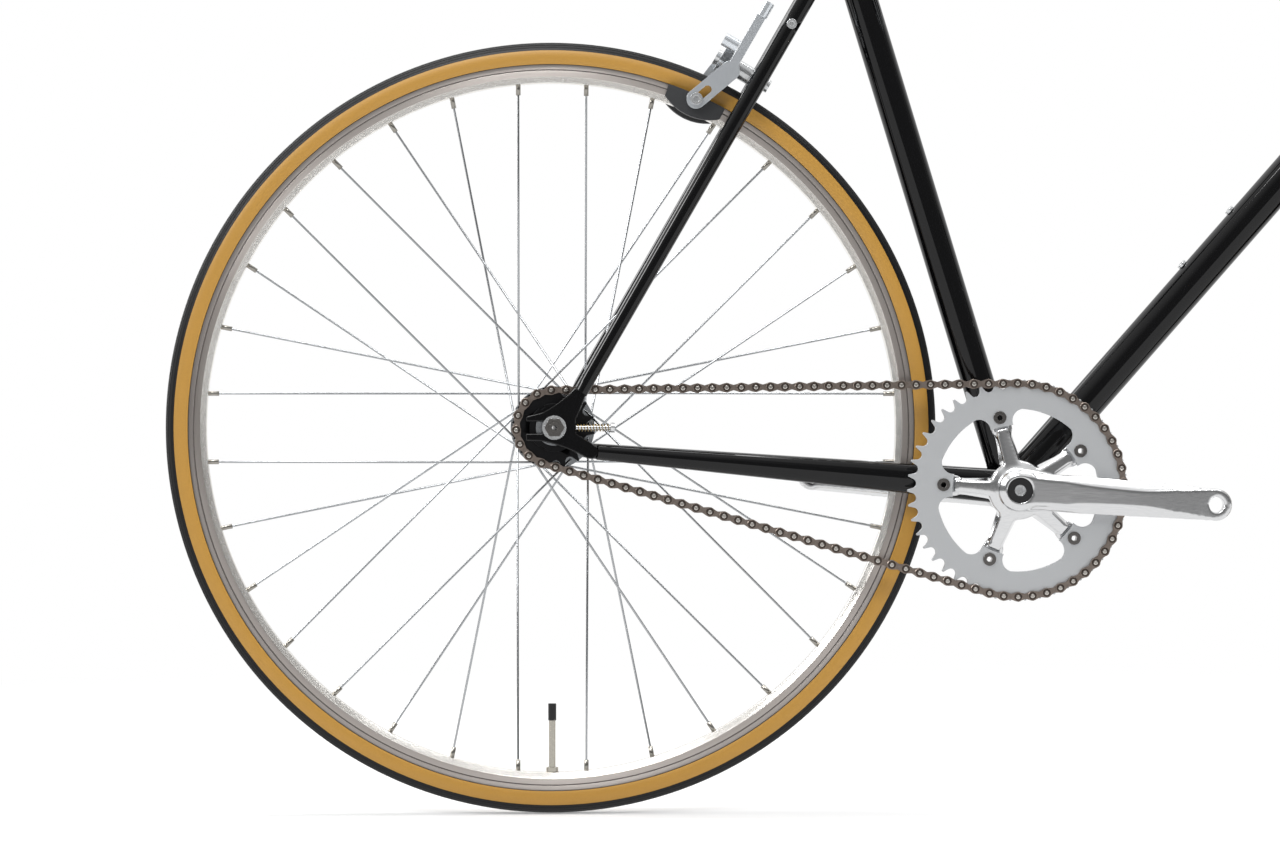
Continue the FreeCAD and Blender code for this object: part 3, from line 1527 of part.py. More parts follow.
def make_crankset():
    bolt_centre = vec(chainring_bolt_circle, 0, 0)
    inner = ring_inner - spider_tab_thickness
    hole = disc(bolt_centre, 0, -2 * chain_line, chainring_bolt_radius + running_gap)
    holes = [on_crank(hole, angle) for angle in bolt_angles()]
    arms = [on_crank(spider_arm(), angle) for angle in bolt_angles()]
    cuts = [on_crank(cut, crank_rest_angle) for cut in crank_cuts(-1)]
    right = joined([on_crank(part, crank_rest_angle) for part in crank_arm(-1)] + arms)
    save("right_crank", without(right, cuts + holes))
    left = without(joined(crank_arm(1)), crank_cuts(1))
    save("left_crank", on_crank(left, crank_rest_angle + 180))
    save("chainring", chainring_shape(holes))
    sleeve = disc(bolt_centre, -inner, -ring_outer, chainring_bolt_radius)
    head = disc(bolt_centre, -ring_outer, -ring_outer - chainring_bolt_head_height,
                chainring_bolt_head_radius)
    nut = disc(bolt_centre, -inner, chainring_bolt_head_height - inner, chainring_bolt_head_radius)
    start = vec(chainring_bolt_circle, 0, 0)
    socket = prism(start, start - vec(0, 2 * chain_line, 0), chainring_bolt_bore, 6)
    bolt = joined([sleeve, head, nut]).cut(socket)
    save("chainring_bolts", [on_crank(bolt, angle) for angle in bolt_angles()])
    half = spindle_length / 2
    square = Part.makeBox(spindle_square, spindle_length, spindle_square)
    square.translate(vec(-spindle_square / 2, -half, -spindle_square / 2))
    spindle = joined([
        square.common(disc(wheel_centre, -half, half, spindle_radius)),
        disc(wheel_centre, -crank_boss_inner, crank_boss_inner, spindle_radius),
    ])
    spindle = spindle.cut(disc(wheel_centre, -half, half, crank_stem_radius + running_gap))
    save("bottom_bracket_spindle", on_crank(spindle, crank_rest_angle))
    head_end = -crank_boss_outer + crank_cap_height
    stem = disc(wheel_centre, -half, crank_bolt_length - half, crank_stem_radius)
    head = disc(wheel_centre, -half, head_end, crank_bolt_radius)
    socket_start = vec(0, (head_end - half) / 2, 0)
    socket = prism(socket_start, vec(0, -crank_boss_outer - overrun, 0),
                   hex_radius(crank_bolt_socket) * socket_share, 6)
    bolt = joined([stem, head]).cut(socket)
    cap = ring(wheel_centre, -half, -crank_boss_outer, crank_cap_radius, crank_bolt_radius + running_gap)
    save("crank_bolts", [on_crank(shape, crank_rest_angle) for shape in both_sides(bolt) + both_sides(cap)])
    cog = sprocket(rear_axle, cog_teeth, cog_pitch_radius, centre_line_angle + 180)
    bore = hub_barrel_radius + running_gap
    cog = cog.cut(disc(rear_axle, 0, -2 * chain_line, bore))
    shoulder_start = -ring_inner
    shoulder = ring(rear_axle, shoulder_start, -hub_flange_offset - hub_flange_thickness / 2 - cog_flange_gap,
                    lockring_radius, bore)
    cog = joined([cog, shoulder])
    lock = ring(rear_axle, -ring_outer, -ring_outer - lockring_height, lockring_radius, bore)
    notches = []
    for k in range(lockring_notch_count):
        angle = 360 / lockring_notch_count * k
        notch = Part.makeBox(lockring_notch_depth + overrun, lockring_height + overrun, lockring_notch_width)
        notch.translate(vec(lockring_radius - lockring_notch_depth, -ring_outer - lockring_height - overrun,
                            -lockring_notch_width / 2))
        notches.append(moved([about(notch, wheel_centre, angle)], rear_axle)[0])
    save("cog", [cog, without(lock, notches)])


# Brake calipers
def caliper_frame(front):
    """Mounting point, outward and upward directions, the carrier's solid and the wheel's axle."""
    if front:
        origin = crown_seat - steer_up * (crown_height / 2)
        boss = rod(crown_bottom, crown_seat, crown_boss_radius)
        return origin, steer_forward, steer_up, boss, crown_boss_radius, front_axle
    bridge_solid = disc(brake_bridge_centre, -brake_bridge_half, brake_bridge_half, brake_bridge_radius)
    return brake_bridge_centre, stay_back, stay_along, bridge_solid, brake_bridge_radius, rear_axle


def make_caliper(prefix, front):
    origin, back, up, carrier, carrier_radius, axle = caliper_frame(front)

    def place(a, y, c):
        return origin + back * a + vec(0, y, 0) + up * c

    def cross_plate(start, steps, a_from, depth):
        wire = closed_wire(start, steps, lambda y, c: place(a_from, y, c))
        return Part.Face(wire).extrude(back * depth)

    pad_radius = rim_flange_radius - rim_track_height / 2
    setback = (origin - axle).dot(back) + caliper_pad_setback
    drop = (origin - axle).dot(up) - math.sqrt(pad_radius**2 - setback**2)
    inner = caliper_arm_inner
    outer = inner + caliper_arm_thickness
    half = caliper_arch_height / 2
    right_from = caliper_arm_setback
    left_from = right_from + caliper_arm_depth + caliper_layer_gap
    stack_end = left_from + caliper_arm_depth
    head_end = stack_end + seat_gap + caliper_bolt_head_height
    bore = rod(place(0, 0, 0), place(head_end, 0, 0), caliper_bolt_radius + running_gap)
    tail = place(-carrier_radius - caliper_nut_height, 0, 0)
    bolt = rod(tail, place(head_end, 0, 0), caliper_bolt_radius)
    head = rod(place(stack_end + seat_gap, 0, 0), place(head_end, 0, 0), caliper_bolt_head_radius)
    spacer = rod(place(0, 0, 0), place(right_from - seat_gap, 0, 0), caliper_pivot_boss_radius * spacer_share)
    nut = rod(tail, place(0, 0, 0), caliper_nut_radius)
    save(prefix + "_caliper_mount", joined([bolt, head, spacer.cut(carrier), nut.cut(carrier)]))

    for side, name, a_from in ((-1, "right", right_from), (1, "left", left_from)):
        boss = rod(place(a_from, 0, 0), place(a_from + caliper_arm_depth, 0, 0), caliper_pivot_boss_radius)
        top = caliper_leg_height
        rise = [(side * inner, top), (side * outer, top)] if side < 0 else [(side * outer, 0)]
        anchor_low = caliper_anchor_height - caliper_anchor_radius
        anchor_high = caliper_anchor_height + caliper_anchor_radius
        tail_steps = [] if side < 0 else [(-inner, anchor_low), (-inner, anchor_high)]
        arch = cross_plate((0, half), [(side * inner, half)] + rise + [
            (side * outer, -caliper_arm_width), (side * inner, -caliper_arm_width), (side * inner, -half),
            (0, -half),
        ] + tail_steps, a_from, caliper_arm_depth)
        low = side * inner if side > 0 else -outer
        foot = place(caliper_pad_setback, low, -drop)
        shoulder = place(a_from + caliper_arm_depth / 2, low, -half)
        along = (foot - shoulder).normalize()
        across = along.cross(side_axis)
        middle = (foot + shoulder) * 0.5
        width = caliper_arm_width / 2
        leg = Part.Face(stadium(middle, along, across, (foot - shoulder).Length / 2, width))
        leg = leg.extrude(vec(0, caliper_arm_thickness, 0))
        slot_reach = (caliper_slot_length - caliper_slot_width) / 2
        slot_middle = foot - along * slot_reach - vec(0, overrun, 0)
        slot = Part.Face(stadium(slot_middle, along, across, slot_reach, caliper_slot_width / 2))
        slot = slot.extrude(vec(0, caliper_arm_thickness + 2 * overrun, 0))
        parts = [boss, arch, leg]
        if side < 0:
            mid_a = a_from + caliper_arm_depth / 2
            mid_y = side * (inner + outer) / 2
            parts.append(rod(place(mid_a, mid_y, top), place(mid_a, mid_y, top + caliper_barrel_height),
                             caliper_barrel_radius))
        else:
            anchor = place(a_from, -inner, caliper_anchor_height)
            anchor_end = anchor + back * (caliper_arm_depth + caliper_anchor_radius)
            parts.append(rod(anchor, anchor_end, caliper_anchor_radius))
        arm = joined(parts).cut([bore, slot])
        save(prefix + "_caliper_" + name + "_arm", arm)
        make_pad(prefix + "_" + name + "_brake_pad", side, place(caliper_pad_setback, 0, -drop), axle)


def make_pad(name, side, centre, axle):
    """A rubber block in its holder, and the bolt that clamps it in the arm's slot."""
    reach = centre - axle
    angle = math.degrees(math.atan2(reach.z, reach.x))
    half = math.degrees(pad_length / 2 / reach.Length)
    edge = rim_flange_radius - pad_edge_gap

    def block(from_y, thickness, end_height, middle_height):
        """A block whose top follows the rim, below the tyre, and whose foot may bulge at the bolt."""
        low = edge - end_height
        steps = [
            (polar(edge - middle_height, angle), polar(low, angle + half)),
            polar(edge, angle + half),
            (polar(edge, angle), polar(edge, angle - half)),
        ]
        near = min(side * from_y, side * (from_y + thickness))
        return side_plate(polar(low, angle - half), steps, axle, near, thickness)

    face = rim_width / 2 + pad_to_rim
    holder = face + pad_rubber_thickness
    back = holder + pad_holder_thickness
    arm_outer = caliper_arm_inner + caliper_arm_thickness
    rubber = block(face, pad_rubber_thickness, pad_rubber_height, pad_rubber_height)
    shoe = block(holder, pad_holder_thickness, pad_shoe_end_height, pad_shoe_height)
    washer = rod(centre + vec(0, side * back, 0), centre + vec(0, side * caliper_arm_inner, 0),
                 pad_bolt_head_radius)
    stem = rod(centre + vec(0, side * back, 0), centre + vec(0, side * arm_outer, 0), pad_bolt_radius)
    head = rod(centre + vec(0, side * arm_outer, 0),
               centre + vec(0, side * (arm_outer + pad_bolt_head_height), 0),
               pad_bolt_head_radius)
    socket = prism(centre + vec(0, side * (arm_outer + pad_bolt_head_height / 2), 0),
                   centre + vec(0, side * (arm_outer + pad_bolt_head_height + overrun), 0),
                   pad_bolt_radius, 6)
    save(name, [rubber, shoe, joined([washer, stem, head]).cut(socket)])


# Seat
post_top = seat_top + seat_up * seatpost_show
rail_height = post_top.z + rail_clamp_height / 2
saddle_tail = post_top.x - saddle_length / 2 - saddle_setback
saddle_floor = rail_height + rail_drop


def make_seat_clamp():
    foot = seat_top - seat_up * (collar_height - collar_wall)
    top = foot + seat_up * collar_height
    bore = seat_tube_radius + running_gap
    outer = bore + collar_wall
    band = pipe(foot, top, outer, bore)
    behind = vec(-seat_up.z, 0, seat_up.x)
    corner = foot + behind * (bore + running_gap) + vec(0, -collar_ear, 0)
    ear = Part.Face(polygon([
        corner,
        corner + vec(0, 2 * collar_ear, 0),
        corner + vec(0, 2 * collar_ear, 0) + behind * (collar_wall + collar_ear),
        corner + behind * (collar_wall + collar_ear),
    ])).extrude(seat_up * collar_height)
    keep = rod(foot, top, bore)
    slot_corner = foot + vec(0, -collar_wall / 4, 0) - seat_up * overrun
    slot = Part.Face(polygon([
        slot_corner,
        slot_corner + vec(0, collar_wall / 2, 0),
        slot_corner + vec(0, collar_wall / 2, 0) + behind * (2 * outer),
        slot_corner + behind * (2 * outer),
    ])).extrude(seat_up * (collar_height + 2 * overrun))
    bolt_middle = foot + seat_up * (collar_height / 2) + behind * (outer + collar_ear / 2)
    start = bolt_middle - vec(0, collar_ear, 0)
    end = bolt_middle + vec(0, collar_ear, 0)
    hole = rod(start - vec(0, overrun, 0), end + vec(0, overrun, 0), collar_bolt_radius + running_gap)
    clamp = joined([band, ear]).cut([keep, slot, hole])
    head_end = start - vec(0, collar_ear / 2, 0)
    head = rod(head_end, start, collar_bolt_head_radius)
    socket = prism(head_end - vec(0, overrun, 0), head_end + vec(0, collar_ear / 4, 0), collar_bolt_radius, 6)
    save("seat_clamp", [clamp, joined([rod(start, end, collar_bolt_radius), head]).cut(socket)])


def rail_points(side):
    tail = saddle_tail + saddle_length * rail_tail_share
    nose = saddle_tail + saddle_length * rail_nose_share
    flat_from = post_top.x - rail_clamp_length
    flat_to = post_top.x + rail_clamp_length
    half = rail_spread / 2
    return [
        vec(tail, side * half * rail_tail_spread_share, saddle_floor),
        vec(flat_from, side * half, rail_height),
        vec(flat_to, side * half, rail_height),
        vec(nose, side * rail_nose_spread / 2, saddle_floor),
    ]


def make_seatpost():
    tube = rod(seat_top - seat_up * seatpost_insert, post_top, seatpost_radius)
    bore = rod(seat_top - seat_up * (seatpost_insert + overrun), post_top - seat_up * seatpost_radius,
               seatpost_radius - seatpost_wall)
    half = rail_spread / 2 + 2 * rail_radius
    rail_line = vec(post_top.x, 0, rail_height)
    whole = disc(rail_line, -half, half, rail_clamp_height)
    grooves = [
        rod(vec(post_top.x - rail_clamp_length, side * rail_spread / 2, rail_height),
            vec(post_top.x + rail_clamp_length, side * rail_spread / 2, rail_height),
            rail_radius + running_gap)
        for side in (1, -1)
    ]
    size = 4 * rail_clamp_length
    above = Part.makeBox(size, size, size)
    above.translate(vec(post_top.x - size / 2, -size / 2, rail_height + seat_gap))
    below = Part.makeBox(size, size, size)
    below.translate(vec(post_top.x - size / 2, -size / 2, rail_height - seat_gap - size))
    hole = rod(rail_line - vec(0, 0, 2 * rail_clamp_height), rail_line + vec(0, 0, 2 * rail_clamp_height),
               rail_clamp_bolt_radius + running_gap)
    cradle = joined([tube, whole.common(below)])
    cradle = without(cradle, grooves + [bore, hole])
    jaw = without(whole.common(above), grooves + [hole])
    top = rail_line + vec(0, 0, rail_clamp_height)
    bolt = rod(rail_line - vec(0, 0, rail_clamp_height * bolt_depth_share), top, rail_clamp_bolt_radius)
    head = rod(top, top + vec(0, 0, 2 * rail_clamp_bolt_radius), 2 * rail_clamp_bolt_radius)
    save("seatpost", [cradle, jaw, joined([bolt, head])])


def saddle_section(station, width_share, height_share):
    half = saddle_width * width_share / 2
    height = saddle_pad_height * height_share
    x = saddle_tail + saddle_length * station
    base = saddle_floor + saddle_shell_thickness
    left = vec(x, half, base)
    right = vec(x, -half, base)
    crown = vec(x, 0, base + height)
    return Part.Wire([Part.Arc(left, crown, right).toShape(), Part.LineSegment(right, left).toShape()])


def make_saddle():
    save("saddle_pad", lofted([saddle_section(*row) for row in saddle_shares], False))
    half_top = saddle_floor + saddle_shell_thickness
    wires = []
    for station, width_share, _ in saddle_shares:
        half = saddle_width * width_share * shell_inset_share / 2
        x = saddle_tail + saddle_length * station
        wires.append(polygon([vec(x, half, saddle_floor), vec(x, -half, saddle_floor),
                              vec(x, -half, half_top), vec(x, half, half_top)]))
    save("saddle_shell", lofted(wires))
    save("saddle_rails",
         [bent_rod(rail_points(side), rail_bend_radius, rail_radius).cut(rail_trim()) for side in (1, -1)])


def rail_trim():
    """Everything above the underside of the saddle shell, where the rails end."""
    size = 2 * saddle_length
    box = Part.makeBox(size, size, size)
    box.translate(vec(saddle_tail - size / 4, -size / 2, saddle_floor))
    return box


def main():
    os.makedirs("parts", exist_ok=True)
    make_main_tubes()
    make_rear_triangle()
    make_boss_bolts()
    make_bottom_bracket()
    make_adjusters()
    make_fork(make_headset())
    make_stem()
    make_handlebar()
    make_levers()
    make_wheels()
    make_chain()
    make_crankset()
    make_caliper("rear", False)
    make_caliper("front", True)
    make_seat_clamp()
    make_seatpost()
    make_saddle()


main()
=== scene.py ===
# %% [markdown]
# # Fixed gear bicycle
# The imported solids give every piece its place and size.
# This lesson dresses them: each piece gets the fine shape and the finish of the real one.
# Lengths are written in millimetres and turned to metres once, by `MM`.

# %% Load the solids
import json
from math import asin, atan2, copysign, cos, degrees, exp, hypot, pi, radians, sin, sqrt

import bmesh
import bpy
from mathutils import Matrix, Vector


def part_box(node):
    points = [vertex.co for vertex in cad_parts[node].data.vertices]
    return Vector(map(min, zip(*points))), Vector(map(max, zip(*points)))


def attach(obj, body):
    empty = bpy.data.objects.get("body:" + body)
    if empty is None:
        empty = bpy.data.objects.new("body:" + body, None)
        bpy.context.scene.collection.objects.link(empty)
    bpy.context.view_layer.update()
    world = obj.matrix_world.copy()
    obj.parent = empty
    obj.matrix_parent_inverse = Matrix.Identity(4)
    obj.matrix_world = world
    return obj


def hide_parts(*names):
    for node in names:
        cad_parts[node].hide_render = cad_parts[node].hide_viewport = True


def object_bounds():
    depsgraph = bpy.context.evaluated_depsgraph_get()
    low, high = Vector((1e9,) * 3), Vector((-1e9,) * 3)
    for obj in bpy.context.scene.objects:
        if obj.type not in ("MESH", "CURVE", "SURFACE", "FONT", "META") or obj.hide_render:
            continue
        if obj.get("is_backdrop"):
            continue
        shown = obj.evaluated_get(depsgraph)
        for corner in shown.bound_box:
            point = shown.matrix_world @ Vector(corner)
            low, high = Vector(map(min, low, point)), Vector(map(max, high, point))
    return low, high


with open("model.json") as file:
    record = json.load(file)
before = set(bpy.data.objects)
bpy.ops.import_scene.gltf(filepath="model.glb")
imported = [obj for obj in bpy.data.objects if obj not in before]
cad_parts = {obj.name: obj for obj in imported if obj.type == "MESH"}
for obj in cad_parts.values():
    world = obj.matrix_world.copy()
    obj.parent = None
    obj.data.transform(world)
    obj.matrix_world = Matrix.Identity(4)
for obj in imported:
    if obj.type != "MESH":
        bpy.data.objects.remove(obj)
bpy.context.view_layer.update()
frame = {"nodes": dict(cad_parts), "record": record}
record = frame["record"]
node_slot = {row["node"]: row["material_slot"] for row in record["subparts"]}
node_body = {node: body for body, nodes in record["behaviour"]["bodies"].items() for node in nodes}
joint_place = {joint["name"]: Vector(joint["pos_m"]) for joint in record["behaviour"]["joints"]}
MM = 0.001
rear_axle = joint_place["rear_wheel_spin"]
front_axle = joint_place["front_wheel_spin"]
axles = {"rear": rear_axle, "front": front_axle}
crank_centre = joint_place["crank_spin"]

# %% [markdown]
# ## Camera and studio
# The photograph was taken level with the rear axle, from the chain side, with a long lens.
# A long lens flattens the wheel to a true circle, so its place matters more than its angle.
# The floor and the world show plain white to the camera, and a soft shadow stays under the tyre.

# %% Camera
CAMERA_FROM_AXLE = Vector((-92, -3600, 1)) * MM
CAMERA_YAW = radians(2.69)
CAMERA_LENS = 115.3
SENSOR_WIDTH = 36.0
lens = bpy.data.cameras.new("studio_camera")
lens.lens = CAMERA_LENS
lens.sensor_width = SENSOR_WIDTH
camera = bpy.data.objects.new("studio_camera", lens)
camera.location = rear_axle + CAMERA_FROM_AXLE
camera.rotation_euler = (pi / 2, 0, -CAMERA_YAW)
scene = bpy.context.scene
scene.collection.objects.link(camera)
scene.camera = camera
scene.view_settings.view_transform = "Standard"
print("camera at", tuple(camera.location))


# %% [markdown]
# ## Helpers
# One function turns an sRGB hex colour to the linear values that shaders use.
# One adds a node with its settings and links, to a material or to a geometry tree.
# One draws a smooth curve through the rows of a table, for widths that swell and narrow.
# The rest make objects and meshes, hide the solids that a piece stands for and hang it on their body.

# %% Colour, node and object helpers
def linear(code):
    """Linear colour of an sRGB hex code, by the formula of that standard."""
    parts = [int(code[k:k + 2], 16) / 255 for k in (1, 3, 5)]
    return tuple(c / 12.92 if c <= 0.04045 else ((c + 0.055) / 1.055) ** 2.4 for c in parts) + (1.0,)


def add(tree, kind, inputs=None, **settings):
    """Adds a node; an input is a value, the socket it comes from, or a node for its first socket."""
    made = tree.nodes.new(kind)
    for name, value in settings.items():
        setattr(made, name, value)
    for key, value in (inputs or {}).items():
        source = value.outputs[0] if isinstance(value, bpy.types.Node) else value
        if isinstance(source, bpy.types.NodeSocket):
            tree.links.new(source, made.inputs[key])
        else:
            made.inputs[key].default_value = value
    return made


def slope(table, row):
    """How steeply the curve passes a row: level at a peak or a dip, else as its neighbours lie."""
    before, here, after = table[max(row - 1, 0)], table[row], table[min(row + 1, len(table) - 1)]
    turns_back = (here[1] - before[1]) * (after[1] - here[1]) < 0
    return 0 if turns_back else (after[1] - before[1]) / (after[0] - before[0])


def eased(table, at):
    """A value between the rows of a table, on a smooth curve through them."""
    row = max(k for k in range(len(table) - 1) if table[k][0] <= at)
    (x, a), (next_x, b) = table[row], table[row + 1]
    span = next_x - x
    share = (at - x) / span
    back = share - 1
    leaving = slope(table, row) * span
    arriving = slope(table, row + 1) * span
    bend = leaving * share * back * back + arriving * share * share * back
    return a + (b - a) * share * share * (3 - 2 * share) + bend


def new_object(name, mesh):
    made = bpy.data.objects.new(name, mesh)
    scene.collection.objects.link(made)
    return made


def closed(shape, name, *materials):
    """Turns a finished bmesh to a mesh with its materials."""
    mesh = bpy.data.meshes.new(name)
    shape.to_mesh(mesh)
    shape.free()
    for material in materials:
        mesh.materials.append(material)
    return mesh


def applied(piece, kind, **settings):
    """The piece's mesh after one modifier."""
    modifier = piece.modifiers.new(kind, kind)
    for name, value in settings.items():
        setattr(modifier, name, value)
    mesh = bpy.data.meshes.new_from_object(piece.evaluated_get(bpy.context.evaluated_depsgraph_get()))
    piece.modifiers.clear()
    return mesh


def dress(piece, node):
    """The piece stands for a solid, which is hidden, and moves with its body."""
    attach(piece, node_body[node])
    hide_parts(node)
    return piece


# %% [markdown]
# The floor is white paper that keeps part of its shadow near the bicycle and none far off,
# so no horizon shows. In mirrors the paper is plain white. The world is white to the camera,
# and in mirrors it is dark on the camera's side and white behind, with a pale ceiling, because
# gloss black paint in a studio shows the dark room before it and the white paper under and behind it.
# Two cards show in mirrors only: they draw the thin white lines along the tubes.

# %% Floor, world and lamps
# Places and sizes of the studio are in metres.
FLOOR_HALF = 6.0
FLOOR_DROP = 0.5 * MM
SHADOW_SHOW = 0.8
SHADOW_NEAR = 0.7
SHADOW_FAR = 2.2
WORLD_LIGHT = 0.6
MIRROR_FRONT = 0.2
MIRROR_BACK = 0.85
MIRROR_TURN = (-0.25, 0.55)
MIRROR_TOP = 0.7
MIRROR_TOP_TURN = (0.35, 0.85)
# Name, place, size, power, and where it shows: on matt surfaces, in mirrors, or in both
LAMPS = (
    ("key_softbox", (-1.6, -2.6, 2.6), (2.2, 1.2), 62, ("diffuse",)),
    ("top_softbox", (0.0, 0.2, 3.0), (3.2, 0.7), 60, ("diffuse", "glossy")),
    ("front_strip", (2.6, -1.8, 1.4), (0.5, 2.2), 30, ("diffuse",)),
    ("rear_strip", (-2.4, 2.2, 1.6), (1.0, 2.2), 34, ("diffuse", "glossy")),
    ("high_card", (-0.65, -1.0, 2.4), (1.1, 0.5), 24, ("glossy",)),
    ("left_card", (-2.1, -0.7, 1.6), (0.6, 0.9), 20, ("glossy",)),
)
LAMP_AIM = Vector((0, 0, 0.45))
floor_mesh = bpy.data.meshes.new("studio_floor")
corners = [(x * FLOOR_HALF, y * FLOOR_HALF, -FLOOR_DROP) for x, y in ((-1, -1), (1, -1), (1, 1), (-1, 1))]
floor_mesh.from_pydata(corners, [], [(0, 1, 2, 3)])
floor = new_object("studio_floor", floor_mesh)
floor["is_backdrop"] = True
paper = bpy.data.materials.new("matt studio paper")
paper.use_nodes = True
tree = paper.node_tree
tree.nodes.clear()
rays = add(tree, "ShaderNodeLightPath")
spot = add(tree, "ShaderNodeNewGeometry")
away = add(tree, "ShaderNodeVectorMath", {0: spot.outputs["Position"]}, operation="LENGTH")
plain = add(tree, "ShaderNodeMapRange", {
    0: away.outputs["Value"], 1: SHADOW_NEAR, 2: SHADOW_FAR, 3: 1 - SHADOW_SHOW, 4: 1.0},
    interpolation_type="SMOOTHSTEP")
viewed = add(tree, "ShaderNodeMath", {0: rays.outputs["Is Camera Ray"], 1: plain}, operation="MULTIPLY")
share = add(tree, "ShaderNodeMath", {0: viewed, 1: rays.outputs["Is Glossy Ray"]}, operation="MAXIMUM")
matt = add(tree, "ShaderNodeBsdfDiffuse", {"Color": linear("#F6F6F6")})
glow = add(tree, "ShaderNodeEmission", {"Color": linear("#FFFFFF"), "Strength": 1.0})
both = add(tree, "ShaderNodeMixShader", {0: share, 1: matt, 2: glow})
add(tree, "ShaderNodeOutputMaterial", {"Surface": both})
floor_mesh.materials.append(paper)

world = bpy.data.worlds.new("white_studio")
world.use_nodes = True
scene.world = world
tree = world.node_tree
tree.nodes.clear()
rays = add(tree, "ShaderNodeLightPath")
seen = add(tree, "ShaderNodeMath", {0: rays.outputs["Is Camera Ray"], 1: rays.outputs["Is Transmission Ray"]},
           operation="MAXIMUM")
heading = add(tree, "ShaderNodeTexCoord")
parts = add(tree, "ShaderNodeSeparateXYZ", {0: heading.outputs["Generated"]})
mirror = add(tree, "ShaderNodeMapRange", {
    0: parts.outputs["Y"], 1: MIRROR_TURN[0], 2: MIRROR_TURN[1], 3: MIRROR_FRONT, 4: MIRROR_BACK})
ceiling = add(tree, "ShaderNodeMapRange", {
    0: parts.outputs["Z"], 1: MIRROR_TOP_TURN[0], 2: MIRROR_TOP_TURN[1], 3: 0.0, 4: MIRROR_TOP},
    interpolation_type="SMOOTHSTEP")
mirrors = add(tree, "ShaderNodeMath", {0: mirror, 1: ceiling}, operation="ADD")
light = add(tree, "ShaderNodeMapRange", {0: rays.outputs["Is Glossy Ray"], 3: WORLD_LIGHT, 4: mirrors})
level = add(tree, "ShaderNodeMapRange", {0: seen, 3: light, 4: 1.0})
sky = add(tree, "ShaderNodeBackground", {"Color": linear("#FFFFFF"), "Strength": level})
add(tree, "ShaderNodeOutputWorld", {"Surface": sky})

for name, place, size, watts, shows_in in LAMPS:
    lamp = bpy.data.lights.new(name, "AREA")
    lamp.shape = "RECTANGLE"
    lamp.size, lamp.size_y = size
    lamp.energy = watts
    holder = bpy.data.objects.new(name, lamp)
    holder.location = place
    holder.visible_diffuse = "diffuse" in shows_in
    holder.visible_glossy = "glossy" in shows_in
    holder.rotation_euler = (LAMP_AIM - Vector(place)).to_track_quat("-Z", "Y").to_euler()
    scene.collection.objects.link(holder)
print("lamps", len(LAMPS))


# %% [markdown]
# ## Finishes
# Most finishes differ by two colours, a grain of a real size and a range of gloss.
# One recipe builds them: a noise of that grain mixes the colours, moves the roughness and lifts the surface.
# A drawn or brushed metal has grain that is stretched along the way it was worked.

# %% The shared recipe
TURNED_UV = "turned"
ACROSS_RINGS = 0.25
NOISE_DETAIL = 3.0


def finish(name, light, dark, grain, rough, metallic=0.0, lift=0.0, stretch=(1, 1, 1), source="Object",
           rings=0.0, **sockets):
    """A material of two colours, with grain and lift in millimetres, a low and a high roughness,
    lathe rings as a share, and other sockets of the shader by name."""
    material = bpy.data.materials.new(name)
    material.use_nodes = True
    tree = material.node_tree
    tree.nodes.clear()
    place = add(tree, "ShaderNodeTexCoord")
    spread = add(tree, "ShaderNodeMapping", {
        "Vector": place.outputs[source], "Scale": [s / (grain * MM) for s in stretch]})
    noise = add(tree, "ShaderNodeTexNoise", {"Vector": spread, "Scale": 1.0, "Detail": NOISE_DETAIL})
    tint = add(tree, "ShaderNodeMix", {"Factor": noise, 6: linear(dark), 7: linear(light)}, data_type="RGBA")
    gloss = add(tree, "ShaderNodeMapRange", {0: noise, 3: rough[0], 4: rough[1]})
    inputs = {"Base Color": tint.outputs[2], "Roughness": gloss, "Metallic": metallic}
    if lift:
        inputs["Normal"] = add(tree, "ShaderNodeBump", {"Height": noise, "Distance": lift * MM})
    if rings:
        along = add(tree, "ShaderNodeTangent", direction_type="UV_MAP", uv_map=TURNED_UV)
        inputs.update({"Tangent": along, "Anisotropic": rings, "Anisotropic Rotation": ACROSS_RINGS})
    inputs.update({key.replace("_", " "): value for key, value in sockets.items()})
    shader = add(tree, "ShaderNodeBsdfPrincipled", inputs)
    add(tree, "ShaderNodeOutputMaterial", {"Surface": shader})
    return material


# %% Paint and metals
# Baked gloss enamel: black with a faint orange-peel ripple under a clear, hard top.
black_enamel = finish("gloss black enamel", "#070708", "#040405", 1.8, (0.04, 0.07), lift=0.002,
                      Specular_IOR_Level=0.36)
# Bead-blasted and anodised plate: pale grey and even, with almost no mirror.
satin_aluminium = finish("satin anodised aluminium", "#C8CACC", "#C0C2C4", 0.5, (0.42, 0.5), 0.75, 0.001)
# Brushed castings of the brakes.
brushed_aluminium = finish("brushed aluminium", "#D9DDE1", "#CDD2D7", 0.6, (0.16, 0.22), 0.7, 0.0,
                           (1, 1, 0.06))
cockpit_aluminium = finish("satin silver aluminium", "#B2B5B8", "#A6A9AC", 0.5, (0.18, 0.26), 1.0, 0.001,
                           (1, 0.1, 1))
# Drawn stainless wire: fine lines along the wire, too fine to show, so drawn at a third of a millimetre.
spoke_wire = finish("drawn stainless wire", "#C4C6C8", "#9DA0A3", 0.35, (0.18, 0.3), 1.0)
zinc_steel = finish("zinc plated steel", "#DADBDC", "#CACCCD", 0.8, (0.14, 0.22), 0.75)
# Heat-tinted chain steel: brown bronze where it was blued, paler where it rubs.
bronze_steel = finish("brown tinted chain steel", "#A69A91", "#7B7069", 2.2, (0.26, 0.42), 1.0, 0.006)
black_oxide = finish("black oxide steel", "#1C1C1E", "#101011", 0.9, (0.28, 0.42), 0.7, 0.006)

